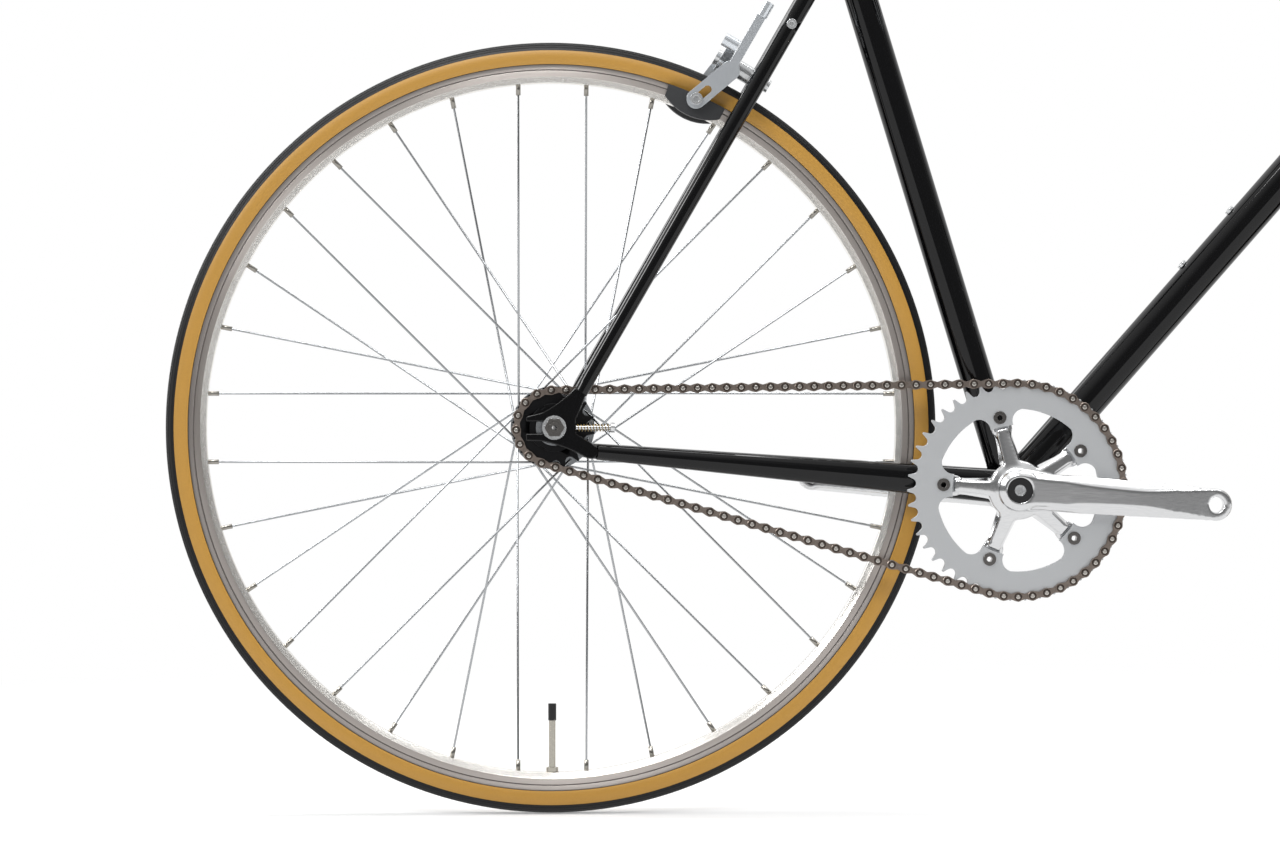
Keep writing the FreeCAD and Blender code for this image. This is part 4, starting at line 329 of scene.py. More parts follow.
# %% Rubber, leather and plastic
tread_rubber = finish("vulcanised tread rubber", "#161617", "#0E0E0F", 1.2, (0.6, 0.8), lift=0.03,
                      Specular_IOR_Level=0.35)
shoulder_rubber = finish("smooth moulded rubber", "#0D0D0E", "#09090A", 1.2, (0.45, 0.55),
                         Specular_IOR_Level=0.3)
tan_rubber = finish("tan sidewall rubber", "#AE8232", "#A0762C", 1.4, (0.42, 0.56), lift=0.02, IOR=1.52)
butyl = finish("butyl rubber", "#232425", "#18191A", 1.0, (0.5, 0.65), lift=0.02, IOR=1.52)
pad_rubber = finish("moulded pad rubber", "#2E2F31", "#202123", 0.8, (0.5, 0.66), lift=0.03, IOR=1.52)
grip_rubber = finish("matt grip rubber", "#1E1F20", "#151516", 0.7, (0.6, 0.75), lift=0.04, IOR=1.52)
saddle_leather = finish("grained black leather", "#1F1F20", "#121213", 1.3, (0.38, 0.55), lift=0.16, IOR=1.5)
nylon = finish("moulded black nylon", "#1C1C1D", "#141415", 0.6, (0.45, 0.58), lift=0.03, IOR=1.53)
# Finishes of the solids that are only rounded, by slot
slot_finish = {
    "frame_paint": black_enamel, "ring_alloy": satin_aluminium, "wheel_alloy": cockpit_aluminium,
    "brake_alloy": brushed_aluminium, "cockpit_alloy": cockpit_aluminium, "bolt_steel": zinc_steel,
    "cog_steel": black_oxide, "tube_rubber": butyl, "pad_rubber": pad_rubber, "saddle_base": nylon,
}
print("finishes", len(slot_finish))

# %% [markdown]
# ## Rounded copies of the solids
# A solid arrives as loose flat triangles with razor edges, and real metal has none.
# Each rigid solid is copied, its triangles are joined to faces, smooth runs are shaded smooth,
# and a small bevel rounds the edges so that they catch the light.

# %% Copy, smooth and bevel
MERGE_WITHIN = 0.002 * MM
FLAT_WITHIN = radians(0.5)
SHARP_FROM = radians(32)
EDGE_SEGMENTS = 2


def shade(shape, sharp_from=SHARP_FROM):
    """Smooth faces, with edges kept sharp from an angle on."""
    for face in shape.faces:
        face.smooth = True
    for edge in shape.edges:
        edge.smooth = edge.calc_face_angle(0) < sharp_from


def rounded_copy(node, bevel, material=None):
    """A smooth copy of a solid with its edges rounded by a radius in millimetres."""
    mesh = frame["nodes"][node].data.copy()
    if "custom_normal" in mesh.attributes:
        mesh.attributes.remove(mesh.attributes["custom_normal"])
    mesh.materials.clear()
    mesh.materials.append(material or slot_finish[node_slot[node]])
    shape = bmesh.new()
    shape.from_mesh(mesh)
    bmesh.ops.remove_doubles(shape, verts=shape.verts, dist=MERGE_WITHIN)
    bmesh.ops.dissolve_limit(shape, angle_limit=FLAT_WITHIN, verts=shape.verts, edges=shape.edges)
    shade(shape)
    shape.to_mesh(mesh)
    shape.free()
    piece = new_object(node + "_finished", mesh)
    rounding = piece.modifiers.new("rounded edges", "BEVEL")
    rounding.width = bevel * MM
    rounding.segments = EDGE_SEGMENTS
    rounding.limit_method = "ANGLE"
    rounding.angle_limit = SHARP_FROM
    rounding.harden_normals = True
    return dress(piece, node)


# %% [markdown]
# ## Tyres and rims
# A tyre and a rim are turned shapes, so an outline spun about the axle gives them with even, smooth faces.
# The tread is a thin black cap that ends in a small step on the tan sidewall, as the moulded one does.
# Shallow grooves run round the cap. The rim has a machined track for the brake with a wear groove in it.

# %% Turn an outline about an axle
TURN_STEPS = 240
CORNER_STEPS = 3
# A rounded corner takes at most this share of the sides that meet in it
CORNER_MOST = 0.4


def softened(outline, radius):
    """The closed outline with each corner cut back and rounded."""
    rounded = []
    for index, corner in enumerate(outline):
        here = Vector(corner)
        before = Vector(outline[index - 1]) - here
        after = Vector(outline[(index + 1) % len(outline)]) - here
        start = here + before.normalized() * min(radius, before.length * CORNER_MOST)
        end = here + after.normalized() * min(radius, after.length * CORNER_MOST)
        for step in range(CORNER_STEPS + 1):
            share = step / CORNER_STEPS
            rounded.append(tuple(start.lerp(here, share).lerp(here.lerp(end, share), share)))
    return rounded


def mirrored(outline):
    """The other half of an outline, in reverse order."""
    return [(-across, along) for across, along in reversed(outline)]


def turned_mesh(name, outline, materials, zone=None):
    """A closed outline of (side, radius) in millimetres turned about the Y axis, with a UV map in metres."""
    shape = bmesh.new()
    layer = shape.loops.layers.uv.new(TURNED_UV)
    rings = []
    for step in range(TURN_STEPS):
        angle = 2 * pi * step / TURN_STEPS
        rings.append([shape.verts.new((r * MM * cos(angle), y * MM, r * MM * sin(angle)))
                      for y, r in outline])
    across = [0.0]
    for (y, r), (next_y, next_r) in zip(outline, outline[1:] + outline[:1]):
        across.append(across[-1] + hypot(next_y - y, next_r - r) * MM)
    mean = sum(r for _, r in outline) / len(outline) * MM
    around = 2 * pi * mean / TURN_STEPS
    for step in range(TURN_STEPS):
        near, far = rings[step], rings[(step + 1) % TURN_STEPS]
        for k in range(len(outline)):
            following = (k + 1) % len(outline)
            face = shape.faces.new((near[k], near[following], far[following], far[k]))
            face.material_index = zone(outline[k], outline[following]) if zone else 0
            for loop, place in zip(face.loops, ((step, k), (step, k + 1), (step + 1, k + 1), (step + 1, k))):
                loop[layer].uv = (place[0] * around, across[place[1]])
    bmesh.ops.recalc_face_normals(shape, faces=shape.faces)
    shade(shape)
    return closed(shape, name, *materials)


def on_wheels(mesh, made, node):
    """Puts a copy of a mesh on each axle, to stand for that wheel's node."""
    for end, axle in axles.items():
        placed = mesh.copy()
        placed.transform(Matrix.Translation(axle))
        dress(new_object(end + made, placed), end + node)


# %% Tyre outline
TYRE_OUTER = 338.0
TYRE_HALF = 14.0
TYRE_MIDDLE = TYRE_OUTER - TYRE_HALF
TREAD_EDGE = 330.5
TREAD_STEP = 0.3
RIM_FLANGE = 318.0
RIM_TO_TYRE = 0.05
BEAD_OUTER = 7.65
BEAD_INNER = 4.65
BEAD_FOOT = 310.05
TYRE_WALL = 2.2
SHOULDER_TO = 332.8
SHOULDER_DROP = 0.25
# Grooves in half the cap: their places and their width, as angles in degrees
GROOVE_ANGLES = (52, 66, 80)
GROOVE_WIDTH = 2.2
GROOVE_DEPTH = 0.5
SIDEWALL_STEPS = 14
CAVITY_STEPS = 24


def tyre_point(angle, radius):
    """A place in the tyre's section, by an angle in degrees from its side and a radius."""
    turn = radians(angle)
    return (radius * cos(turn), TYRE_MIDDLE + radius * sin(turn))


tread_from = degrees(asin((TREAD_EDGE - TYRE_MIDDLE) / TYRE_HALF))
wall_from = degrees(asin((RIM_FLANGE + RIM_TO_TYRE - TYRE_MIDDLE) / TYRE_HALF))
wall_radius = TYRE_HALF - TREAD_STEP
sidewall = [tyre_point(wall_from + (tread_from - wall_from) * k / SIDEWALL_STEPS, wall_radius)
            for k in range(SIDEWALL_STEPS + 1)]
shoulder_to = degrees(asin((SHOULDER_TO - TYRE_MIDDLE) / TYRE_HALF))
cap = []
angle = tread_from
while angle <= 90:
    cut = any(abs(angle - groove) < GROOVE_WIDTH / 2 for groove in GROOVE_ANGLES)
    low = SHOULDER_DROP if angle < shoulder_to else 0
    cap.append(tyre_point(angle, TYRE_HALF - (GROOVE_DEPTH if cut else low)))
    angle += GROOVE_WIDTH / 2
right_half = sidewall + cap
outside = right_half + mirrored(right_half)
sill = RIM_FLANGE + RIM_TO_TYRE + TYRE_WALL
lining = TYRE_HALF - TYRE_WALL
sill_angle = degrees(asin((sill - TYRE_MIDDLE) / lining))
cavity = [tyre_point(180 - sill_angle - (180 - 2 * sill_angle) * k / CAVITY_STEPS, lining)
          for k in range(CAVITY_STEPS + 1)]
inside = [(-BEAD_OUTER, RIM_FLANGE), (-BEAD_OUTER, BEAD_FOOT), (-BEAD_INNER, BEAD_FOOT), (-BEAD_INNER, sill)]
tyre_outline = outside + inside + cavity + mirrored(inside)


def tyre_zone(start, end):
    """Tread rubber on the cap and inside, smooth rubber on its shoulders, tan on the sidewalls."""
    middle = (start[1] + end[1]) / 2
    reach = hypot((start[0] + end[0]) / 2, middle - TYRE_MIDDLE)
    if reach < TYRE_HALF - TYRE_WALL / 2 or not RIM_FLANGE < middle < SHOULDER_TO:
        return 0
    return 1 if middle < TREAD_EDGE else 2


tyre_mesh = turned_mesh("tyre", tyre_outline, [tread_rubber, tan_rubber, shoulder_rubber], tyre_zone)
on_wheels(tyre_mesh, "_tyre_moulded", "_tyre")
print("tyre faces", len(tyre_mesh.polygons))

# %% [markdown]
# The brake track is turned on a lathe, which leaves fine rings that streak the light round the wheel.
# The UV map of the turned mesh runs along the rim, so a noise stretched along it gives those rings.

# %% Rim
machined_track = finish("lathe turned aluminium", "#DAD3CE", "#BDB4AE", 0.45, (0.34, 0.42), 1.0, 0.0,
                        (0.004, 1, 1), "UV", rings=0.95)
anodised_rim = finish("silver anodised aluminium", "#F4F1EC", "#ECE9E4", 0.8, (0.2, 0.26), 0.95, 0.0,
                      (0.05, 1, 1), "UV")
# The wear groove is painted darker than the rim: painted shade in the recess.
groove_shade = finish("painted shade in wear groove", "#6F6966", "#5A5552", 0.6, (0.5, 0.6), 0.5)
RIM_HALF = 10.5
RIM_WELL = 310.0
TRACK_FOOT = 307.5
TRACK_CHAMFER = 0.6
TRACK_DEEPEST = 0.495
TRACK_WITHIN = 0.2
RIM_BED = 302.0
BED_FLAT = 2.5
BED_EDGE = 5.7
BED_RISE = 0.35
FLANGE_INNER = 7.7
WEAR_GROOVE = 313.2
WEAR_HALF = 0.6
WEAR_FLOOR = 0.2
WEAR_DEPTH = 0.45
RIM_ROUND = 0.45
right_half = [
    (FLANGE_INNER, RIM_WELL), (FLANGE_INNER, RIM_FLANGE), (RIM_HALF, RIM_FLANGE),
    (RIM_HALF, WEAR_GROOVE + WEAR_HALF), (RIM_HALF - WEAR_DEPTH, WEAR_GROOVE + WEAR_FLOOR),
    (RIM_HALF - WEAR_DEPTH, WEAR_GROOVE - WEAR_FLOOR), (RIM_HALF, WEAR_GROOVE - WEAR_HALF),
    (RIM_HALF, TRACK_FOOT), (RIM_HALF - TRACK_CHAMFER, TRACK_FOOT - TRACK_CHAMFER),
    (BED_EDGE, RIM_BED + BED_RISE), (BED_FLAT, RIM_BED),
]
rim_outline = softened(right_half + mirrored(right_half), RIM_ROUND)


def rim_zone(start, end):
    """Anodised all over, lathe turned on the tracks, with painted shade in the wear groove."""
    near, far = sorted((abs(start[0]), abs(end[0])))
    if abs((start[1] + end[1]) / 2 - WEAR_GROOVE) < WEAR_HALF and near > BED_EDGE:
        return 2 if far > FLANGE_INNER + RIM_ROUND else 0
    on_track = near > RIM_HALF - TRACK_DEEPEST and min(start[1], end[1]) > TRACK_FOOT - TRACK_WITHIN
    return 1 if on_track else 0


rim_mesh = turned_mesh("rim", rim_outline, [anodised_rim, machined_track, groove_shade], rim_zone)
on_wheels(rim_mesh, "_rim_turned", "_rim")
print("rim faces", len(rim_mesh.polygons))

# %% [markdown]
# ## Spokes
# Each wheel is laced three-cross: a spoke leaves its flange, crosses three others and ends in a nipple.
# Lines for the spokes follow that rule. Geometry Nodes turn every line to a round wire with a bent head
# at the hub, and put a square-shouldered nipple at the rim.

# %% Lines of the lacing
SPOKE_COUNT = 32
SPOKE_CROSSINGS = 3
SPOKE_RADIUS = 1.0
FLANGE_OFFSET = 33.5
FLANGE_PITCH = 31.5
FLANGE_THICKNESS = 3.2
FLANGE_GAP = 0.2
OUTER_GAP = 1.5
NIPPLE_INSET = 3.0
NIPPLE_LENGTH = 12.0
NIPPLE_WIDTH = 3.4
NIPPLE_ROW = 1.5
HEAD_RADIUS = 1.9
WIRE_POINTS = 4
BEND_SHARE = 0.25


def round_axle(radius, turn, side):
    return Vector((radius * cos(turn), side, radius * sin(turn))) * MM


wires = []
for index in range(SPOKE_COUNT):
    flange = -1 if index % 2 == 0 else 1
    trail = 1 if index % 4 < 2 else -1
    step = 2 * pi / SPOKE_COUNT
    rim_turn = (2 * index + 1) * step / 2
    hub_turn = rim_turn + trail * SPOKE_CROSSINGS * 2 * step
    gap = OUTER_GAP if trail > 0 else FLANGE_GAP
    lift = FLANGE_THICKNESS / 2 + SPOKE_RADIUS + gap
    elbow = round_axle(FLANGE_PITCH, hub_turn, flange * (FLANGE_OFFSET + trail * lift))
    tip = round_axle(RIM_BED + NIPPLE_INSET, rim_turn, flange * NIPPLE_ROW)
    through = lift + FLANGE_THICKNESS / 2 + FLANGE_GAP + SPOKE_RADIUS
    head = elbow - Vector((0, flange * trail * through * MM, 0))
    along = (tip - elbow).normalized()
    wires.append((head, elbow.lerp(head, BEND_SHARE), elbow + along * SPOKE_RADIUS * MM, tip))
lacing = bpy.data.meshes.new("lacing_lines")
links = [(WIRE_POINTS * w + k, WIRE_POINTS * w + k + 1) for w in range(len(wires))
         for k in range(WIRE_POINTS - 1)]
lacing.from_pydata([point for wire in wires for point in wire], links, [])


# %% Wires and nipples by Geometry Nodes
def geometry_tree(name, sizes):
    """An empty tree with named size inputs in metres, and its input node."""
    tree = bpy.data.node_groups.new(name, "GeometryNodeTree")
    tree.interface.new_socket("Geometry", in_out="INPUT", socket_type="NodeSocketGeometry")
    for label, value in sizes.items():
        tree.interface.new_socket(label, in_out="INPUT", socket_type="NodeSocketFloat").default_value = value
    tree.interface.new_socket("Geometry", in_out="OUTPUT", socket_type="NodeSocketGeometry")
    return tree, add(tree, "NodeGroupInput")


def close_tree(tree, geometry, material=None):
    """Ends a tree in Realize Instances and, where one is given, Set Material."""
    made = add(tree, "GeometryNodeRealizeInstances", {"Geometry": geometry})
    if material:
        made = add(tree, "GeometryNodeSetMaterial", {"Geometry": made, "Material": material})
    add(tree, "NodeGroupOutput", {0: made})


def baked(name, mesh, tree):
    """The plain mesh that a tree makes of a mesh."""
    carrier = new_object(name + "_lines", mesh)
    result = applied(carrier, "NODES", node_group=tree)
    bpy.data.objects.remove(carrier)
    result.name = name
    return result


WIRE_SIDES = 10
NIPPLE_SIDES = 12
# A nipple's radius as a share of its width over the flats
NIPPLE_ROUND = 0.62
HALF_DOWN = -0.5
HEAD_SEGMENTS = 10
HEAD_RINGS = 6
HEAD_FLAT = 0.55
nipple_brass = finish("nickel plated brass", "#B5B2AC", "#8E8A82", 0.6, (0.16, 0.28), 1.0)
tree, sizes = geometry_tree("laced spokes", {
    "Wire radius": SPOKE_RADIUS * MM, "Nipple width": NIPPLE_WIDTH * MM,
    "Nipple length": NIPPLE_LENGTH * MM, "Head radius": HEAD_RADIUS * MM})
lines = add(tree, "GeometryNodeMeshToCurve", {"Mesh": sizes.outputs["Geometry"]})
section = add(tree, "GeometryNodeCurvePrimitiveCircle",
              {"Resolution": WIRE_SIDES, "Radius": sizes.outputs["Wire radius"]})
wire = add(tree, "GeometryNodeCurveToMesh", {"Curve": lines, "Profile Curve": section, "Fill Caps": True})
nipple_radius = add(tree, "ShaderNodeMath", {0: sizes.outputs["Nipple width"], 1: NIPPLE_ROUND},
                 operation="MULTIPLY")
body = add(tree, "GeometryNodeMeshCylinder", {
    "Vertices": NIPPLE_SIDES, "Radius": nipple_radius, "Depth": sizes.outputs["Nipple length"]})
drop = add(tree, "ShaderNodeMath", {0: sizes.outputs["Nipple length"], 1: HALF_DOWN}, operation="MULTIPLY")
shift = add(tree, "ShaderNodeCombineXYZ", {"Z": drop})
seated = add(tree, "GeometryNodeTransform", {"Geometry": body, "Translation": shift})
button = add(tree, "GeometryNodeMeshUVSphere", {
    "Segments": HEAD_SEGMENTS, "Rings": HEAD_RINGS, "Radius": sizes.outputs["Head radius"]})
flat = add(tree, "GeometryNodeTransform", {"Geometry": button, "Scale": (1, 1, HEAD_FLAT)})
tangent = add(tree, "GeometryNodeInputTangent")
facing = add(tree, "FunctionNodeAlignRotationToVector", {"Vector": tangent}, axis="Z")
outer_end = add(tree, "GeometryNodeCurveEndpointSelection", {"Start Size": 0, "End Size": 1})
inner_end = add(tree, "GeometryNodeCurveEndpointSelection", {"Start Size": 1, "End Size": 0})
made = [add(tree, "GeometryNodeSetMaterial", {"Geometry": wire, "Material": spoke_wire})]
for chosen, piece, material in ((outer_end, seated, nipple_brass), (inner_end, flat, spoke_wire)):
    copies = add(tree, "GeometryNodeInstanceOnPoints", {
        "Points": lines, "Selection": chosen, "Instance": piece, "Rotation": facing})
    made.append(add(tree, "GeometryNodeSetMaterial", {"Geometry": copies, "Material": material}))
whole = add(tree, "GeometryNodeJoinGeometry")
for part in made:
    tree.links.new(part.outputs[0], whole.inputs[0])
smooth = add(tree, "GeometryNodeSetShadeSmooth", {"Geometry": whole})
close_tree(tree, smooth)
spoke_mesh = baked("laced_spokes", lacing, tree)
on_wheels(spoke_mesh, "_spokes_laced", "_spokes")
print("spoke faces", len(spoke_mesh.polygons))

# %% [markdown]
# ## Chain
# The pins of a roller chain lie one pitch apart: on a circle round each sprocket, and on straight runs
# between. Inner links with rollers and outer links with rivets take turns. Each kind is modelled once,
# and Geometry Nodes put it on every second gap between pins, turned along the chain.

# %% Places of the links
CHAIN_PITCH = 12.7
RING_TEETH, COG_TEETH = 46, 16
LINKS_ON_RING, LINKS_ON_COG, LINKS_ON_RUN = 25, 7, 32
CHAIN_LINE = -43.5
ring_radius = CHAIN_PITCH * MM / 2 / sin(pi / RING_TEETH)
cog_radius = CHAIN_PITCH * MM / 2 / sin(pi / COG_TEETH)
ahead = (crank_centre - rear_axle).normalized()
above = Vector((-ahead.z, 0, ahead.x))


def around(centre, reach, turn):
    return centre + ahead * (reach * cos(turn)) + above * (reach * sin(turn))


def between(start, end, count):
    return [start.lerp(end, step / count) for step in range(1, count)]


on_ring = [around(crank_centre, ring_radius, (LINKS_ON_RING - 2 * k) * pi / RING_TEETH)
           for k in range(LINKS_ON_RING + 1)]
on_cog = [around(rear_axle, -cog_radius, (LINKS_ON_COG - 2 * k) * pi / COG_TEETH)
          for k in range(LINKS_ON_COG + 1)]
pins = (on_ring + between(on_ring[-1], on_cog[0], LINKS_ON_RUN)
        + on_cog + between(on_cog[-1], on_ring[0], LINKS_ON_RUN))
print("chain pins", len(pins))

# %% One link of each kind
PLATE_THICKNESS = 1.2
PLATE_ROUND = 0.25
PLATE_GAP = 0.05
OUTER_PLATE = 4.3
INNER_PLATE = 4.1
ROLLER_RADIUS = 3.85
ROLLER_WIDTH = 3.4
ROLLER_SIDES = 12
RIVET_RADIUS = 1.9
RIVET_HEIGHT = 0.6
RIVET_SIDES = 10
PIN_FACE_SHARE = 0.7
WAIST_SHARE = 0.56
EYE_SHARE = 0.82
EYE_HEIGHT = 0.2
END_STEPS = 8
# The seat round each rivet is pressed, and its darker colour is painted shade round the domed rivet.
painted_shade_seat_steel = finish("painted shade round rivet", "#5E554F", "#463E39", 0.8, (0.3, 0.45), 1.0)
rivet_steel = finish("burnished rivet steel", "#E2DED8", "#BDB7AF", 0.4, (0.14, 0.26), 1.0)


def plate_outline(radius):
    """Round ends about both pins, drawn in between them."""
    half = CHAIN_PITCH / 2
    lean = asin(1 - WAIST_SHARE)
    right = []
    for step in range(END_STEPS + 1):
        turn = -pi / 2 - lean + (pi + 2 * lean) * step / END_STEPS
        right.append((half + radius * cos(turn), radius * sin(turn)))
    waist = radius * WAIST_SHARE
    return right + [(0, waist)] + mirrored(right) + [(0, -waist)]


def walled(shape, rings):
    """Faces between rings of corners, with both ends capped."""
    faces = [shape.faces.new(rings[0]), shape.faces.new(rings[-1])]
    for near, far in zip(rings, rings[1:]):
        for k in range(len(near)):
            following = (k + 1) % len(near)
            faces.append(shape.faces.new((near[k], near[following], far[following], far[k])))
    return faces


def stack(shape, layers, index):
    """Closed walls through outlines of (x, z), each at its own side place, with both ends capped."""
    rings = [[shape.verts.new((x * MM, y * MM, z * MM)) for x, z in outline] for y, outline in layers]
    for face in walled(shape, rings):
        face.material_index = index


def disc_outline(x, radius, sides):
    return [(x + radius * cos(2 * pi * k / sides), radius * sin(2 * pi * k / sides))
            for k in range(sides)]


def link_mesh(name, radius, inner_face, pin_radius, pin_half, sides):
    """Two plates and the two round pieces across them, with a seat of painted shade round each one that
    stands out.
    """
    shape = bmesh.new()
    outline = plate_outline(radius)
    share = 1 - PLATE_ROUND / radius / 2
    small = [(x * share, z * share) for x, z in outline]
    outer = inner_face + PLATE_THICKNESS
    pin_face = pin_radius * PIN_FACE_SHARE
    for side in (1, -1):
        stack(shape, [(side * y, row) for y, row in (
            (inner_face, small), (inner_face + PLATE_ROUND, outline),
            (outer - PLATE_ROUND, outline), (outer, small))], 0)
    for x in (-CHAIN_PITCH / 2, CHAIN_PITCH / 2):
        stack(shape, [(y, disc_outline(x, reach, sides)) for y, reach in (
            (-pin_half, pin_face), (-pin_half + PLATE_ROUND, pin_radius),
            (pin_half - PLATE_ROUND, pin_radius), (pin_half, pin_face))], 1)
        # The raised seat round each rivet takes the third finish, a darker painted shade.
        for side in (1, -1) if pin_half > outer else ():
            stack(shape, [(side * (outer + rise), disc_outline(x, radius * eye, sides))
                          for rise, eye in ((0, EYE_SHARE), (EYE_HEIGHT, EYE_SHARE * EYE_SHARE))], 2)
    bmesh.ops.recalc_face_normals(shape, faces=shape.faces)
    return closed(shape, name, bronze_steel, rivet_steel, painted_shade_seat_steel)


inner_face = ROLLER_WIDTH / 2
outer_face = inner_face + PLATE_THICKNESS + PLATE_GAP
rivet_end = outer_face + PLATE_THICKNESS + RIVET_HEIGHT
# The first gap between pins that a kind of link fills, and its mesh
link_kinds = {
    "chain_outer_links":
        (1, link_mesh("outer_link", OUTER_PLATE, outer_face, RIVET_RADIUS, rivet_end, RIVET_SIDES)),
    "chain_inner_links":
        (0, link_mesh("inner_link", INNER_PLATE, inner_face, ROLLER_RADIUS, inner_face, ROLLER_SIDES)),
}


# %% Links on the chain by Geometry Nodes
def on_points(name, places, turns, template):
    """A mesh with the template at each place, turned about the side axis."""
    cloud = bpy.data.meshes.new(name + "_places")
    cloud.from_pydata(places, [], [])
    cloud.attributes.new("turn", "FLOAT", "POINT").data.foreach_set("value", turns)
    tree, sizes = geometry_tree(name, {"Link size": 1.0})
    holder = new_object(name + "_template", template)
    shape = add(tree, "GeometryNodeObjectInfo", {"Object": holder})
    turn = add(tree, "GeometryNodeInputNamedAttribute", {"Name": "turn"}, data_type="FLOAT")
    facing = add(tree, "ShaderNodeCombineXYZ", {"Y": turn.outputs["Attribute"]})
    copies = add(tree, "GeometryNodeInstanceOnPoints", {
        "Points": sizes.outputs["Geometry"], "Instance": shape.outputs["Geometry"], "Rotation": facing,
        "Scale": sizes.outputs["Link size"]})
    close_tree(tree, copies)
    result = baked(name, cloud, tree)
    bpy.data.objects.remove(holder)
    return result


for node, (first, template) in link_kinds.items():
    middles, turns = [], []
    for k in range(first, len(pins), 2):
        along = pins[(k + 1) % len(pins)] - pins[k]
        middle = (pins[k] + pins[(k + 1) % len(pins)]) / 2
        middles.append((middle.x, CHAIN_LINE * MM, middle.z))
        turns.append(-atan2(along.z, along.x))
    dress(new_object(node + "_linked", on_points(node, middles, turns, template)), node)
print("links", len(pins))

# %% [markdown]
# ## Cranks
# A crank is forged and then buffed, so its edges and the roots of its five arms flow into one another.
# The solid gets a flat face that narrows along the arm and swells round the pedal hole,
# and on the right a web between the arms of the spider.
# All is then rebuilt as one even skin of small faces. Beside the flat face the skin falls away in shoulders,
# and last it is relaxed, most at the roots of the arms, which rounds edges and fills corners.

# %% Sizes of the forging
CRANK_ANGLE = radians(-4.2)
PEDAL_REACH = 170.0
# Rows give a distance along the arm, and how far out the face lies or half its width.
FACE_END = 13.0
FACE_OUT = ((0, 63.5), (93.5, 64.75), (PEDAL_REACH, 74.0))
FACE_HALVES = ((0, FACE_END), (35, 10.6), (70, 8.2), (107, 7.4), (135, 9.8), (158, 12.6),
               (PEDAL_REACH, FACE_END))
FACE_DEPTH = 5.0
FACE_ROWS = 90
FACE_OVERLAP = 0.5
# Holes in the face, by place along the arm and radius
WELLS = ((0, 11.0), (PEDAL_REACH, 6.8))
WEB_OUTLINE = ((-56.0, 15.0), (-50.5, 26.0), (-42.0, 26.0), (-40.0, 15.0))
SHOULDER_FALL = 0.9
SHOULDER_MOST = 8.0
SKIN_SIZE = 0.8
SKIN_RELAX = 9
SPIDER_RELAX = 45
SPIDER_BELOW = 59.0
SPIDER_WITHIN = 52.0
SKIN_FACTOR = 0.5
# Bright, with faint buff lines along the arm
buffed_crank = finish("buffed forged aluminium", "#E6E6E6", "#D2D3D5", 0.8, (0.12, 0.2), 1.0, 0.002,
                      (0.06, 1, 1))


def crank_axes(side):
    """Directions along the arm, outward and across, for the right crank at -1 and the left at 1."""
    along = Vector((cos(CRANK_ANGLE), 0, sin(CRANK_ANGLE))) * -side
    return along, Vector((0, side, 0)), Vector((-along.z, 0, along.x))


def past_ends(reach):
    return min(0, reach) + max(0, reach - PEDAL_REACH)


def face_out(reach):
    return eased(FACE_OUT, reach - past_ends(reach))


def face_half(reach):
    """Half the width of the flat face, with round ends."""
    end = past_ends(reach)
    return sqrt(max(0, FACE_END ** 2 - end ** 2)) if end else eased(FACE_HALVES, reach)


def well_half(reach):
    """Half the width of the hole in the face: the well of the cap or the pedal hole."""
    return max(sqrt(max(0, radius ** 2 - (reach - centre) ** 2)) for centre, radius in WELLS)


# %% Forged and buffed cranks
def face_plate(shape, side):
    """Adds both halves of the flat face, above and below its holes."""
    along, out, up = crank_axes(side)
    length = PEDAL_REACH + 2 * (FACE_END - FACE_OVERLAP)
    for half in (1, -1):
        rings = []
        for row in range(FACE_ROWS + 1):
            reach = length * row / FACE_ROWS - FACE_END + FACE_OVERLAP
            front = face_out(reach)
            inner = well_half(reach) or -FACE_OVERLAP
            outer = max(face_half(reach), inner + FACE_OVERLAP)
            back = front - FACE_DEPTH
            corners = [along * reach + up * half * across + out * depth for across, depth in (
                (inner, front), (outer, front), (outer, back), (inner, back))]
            rings.append([shape.verts.new(crank_centre + corner * MM) for corner in corners])
        walled(shape, rings)


def shouldered(mesh, side):
    """Lets the skin fall away beside the flat face."""
    along, out, up = crank_axes(side)
    for corner in mesh.vertices:
        spot = (corner.co - crank_centre) / MM
        reach, across = spot.dot(along), spot.dot(up)
        end = past_ends(reach)
        outside = hypot(end, across) - FACE_END if end else abs(across) - face_half(reach)
        allowed = face_out(reach) - min(SHOULDER_MOST, SHOULDER_FALL * max(0, outside))
        corner.co -= out * (max(0, spot.dot(out) - allowed) * MM)


def forged_copy(node, side):
    """A copy of a crank as one relaxed skin with a flat face."""
    shape = bmesh.new()
    shape.from_mesh(frame["nodes"][node].data)
    bmesh.ops.remove_doubles(shape, verts=shape.verts, dist=MERGE_WITHIN)
    face_plate(shape, side)
    if node == "right_crank":
        web = turned_mesh("web", WEB_OUTLINE, [])
        web.transform(Matrix.Translation(crank_centre))
        shape.from_mesh(web)
    bmesh.ops.recalc_face_normals(shape, faces=shape.faces)
    piece = new_object(node + "_forged", closed(shape, node + "_forging"))
    piece.data = applied(piece, "REMESH", mode="VOXEL", voxel_size=SKIN_SIZE * MM)
    shouldered(piece.data, side)
    roots = piece.vertex_groups.new(name="roots of the arms")
    for corner in piece.data.vertices:
        spot = (corner.co - crank_centre) / MM
        if abs(spot.y) < SPIDER_BELOW and hypot(spot.x, spot.z) < SPIDER_WITHIN:
            roots.add([corner.index], 1, "REPLACE")
    piece.data = applied(piece, "SMOOTH", factor=SKIN_FACTOR, iterations=SPIDER_RELAX,
                         vertex_group=roots.name)
    piece.data = applied(piece, "SMOOTH", factor=SKIN_FACTOR, iterations=SKIN_RELAX)
    piece.data.materials.clear()
    piece.data.materials.append(buffed_crank)
    for face in piece.data.polygons:
        face.use_smooth = True
    return dress(piece, node)


FORGED = {"right_crank": -1, "left_crank": 1}
for node, side in FORGED.items():
    crank = forged_copy(node, side)
    print(node, "faces", len(crank.data.polygons))

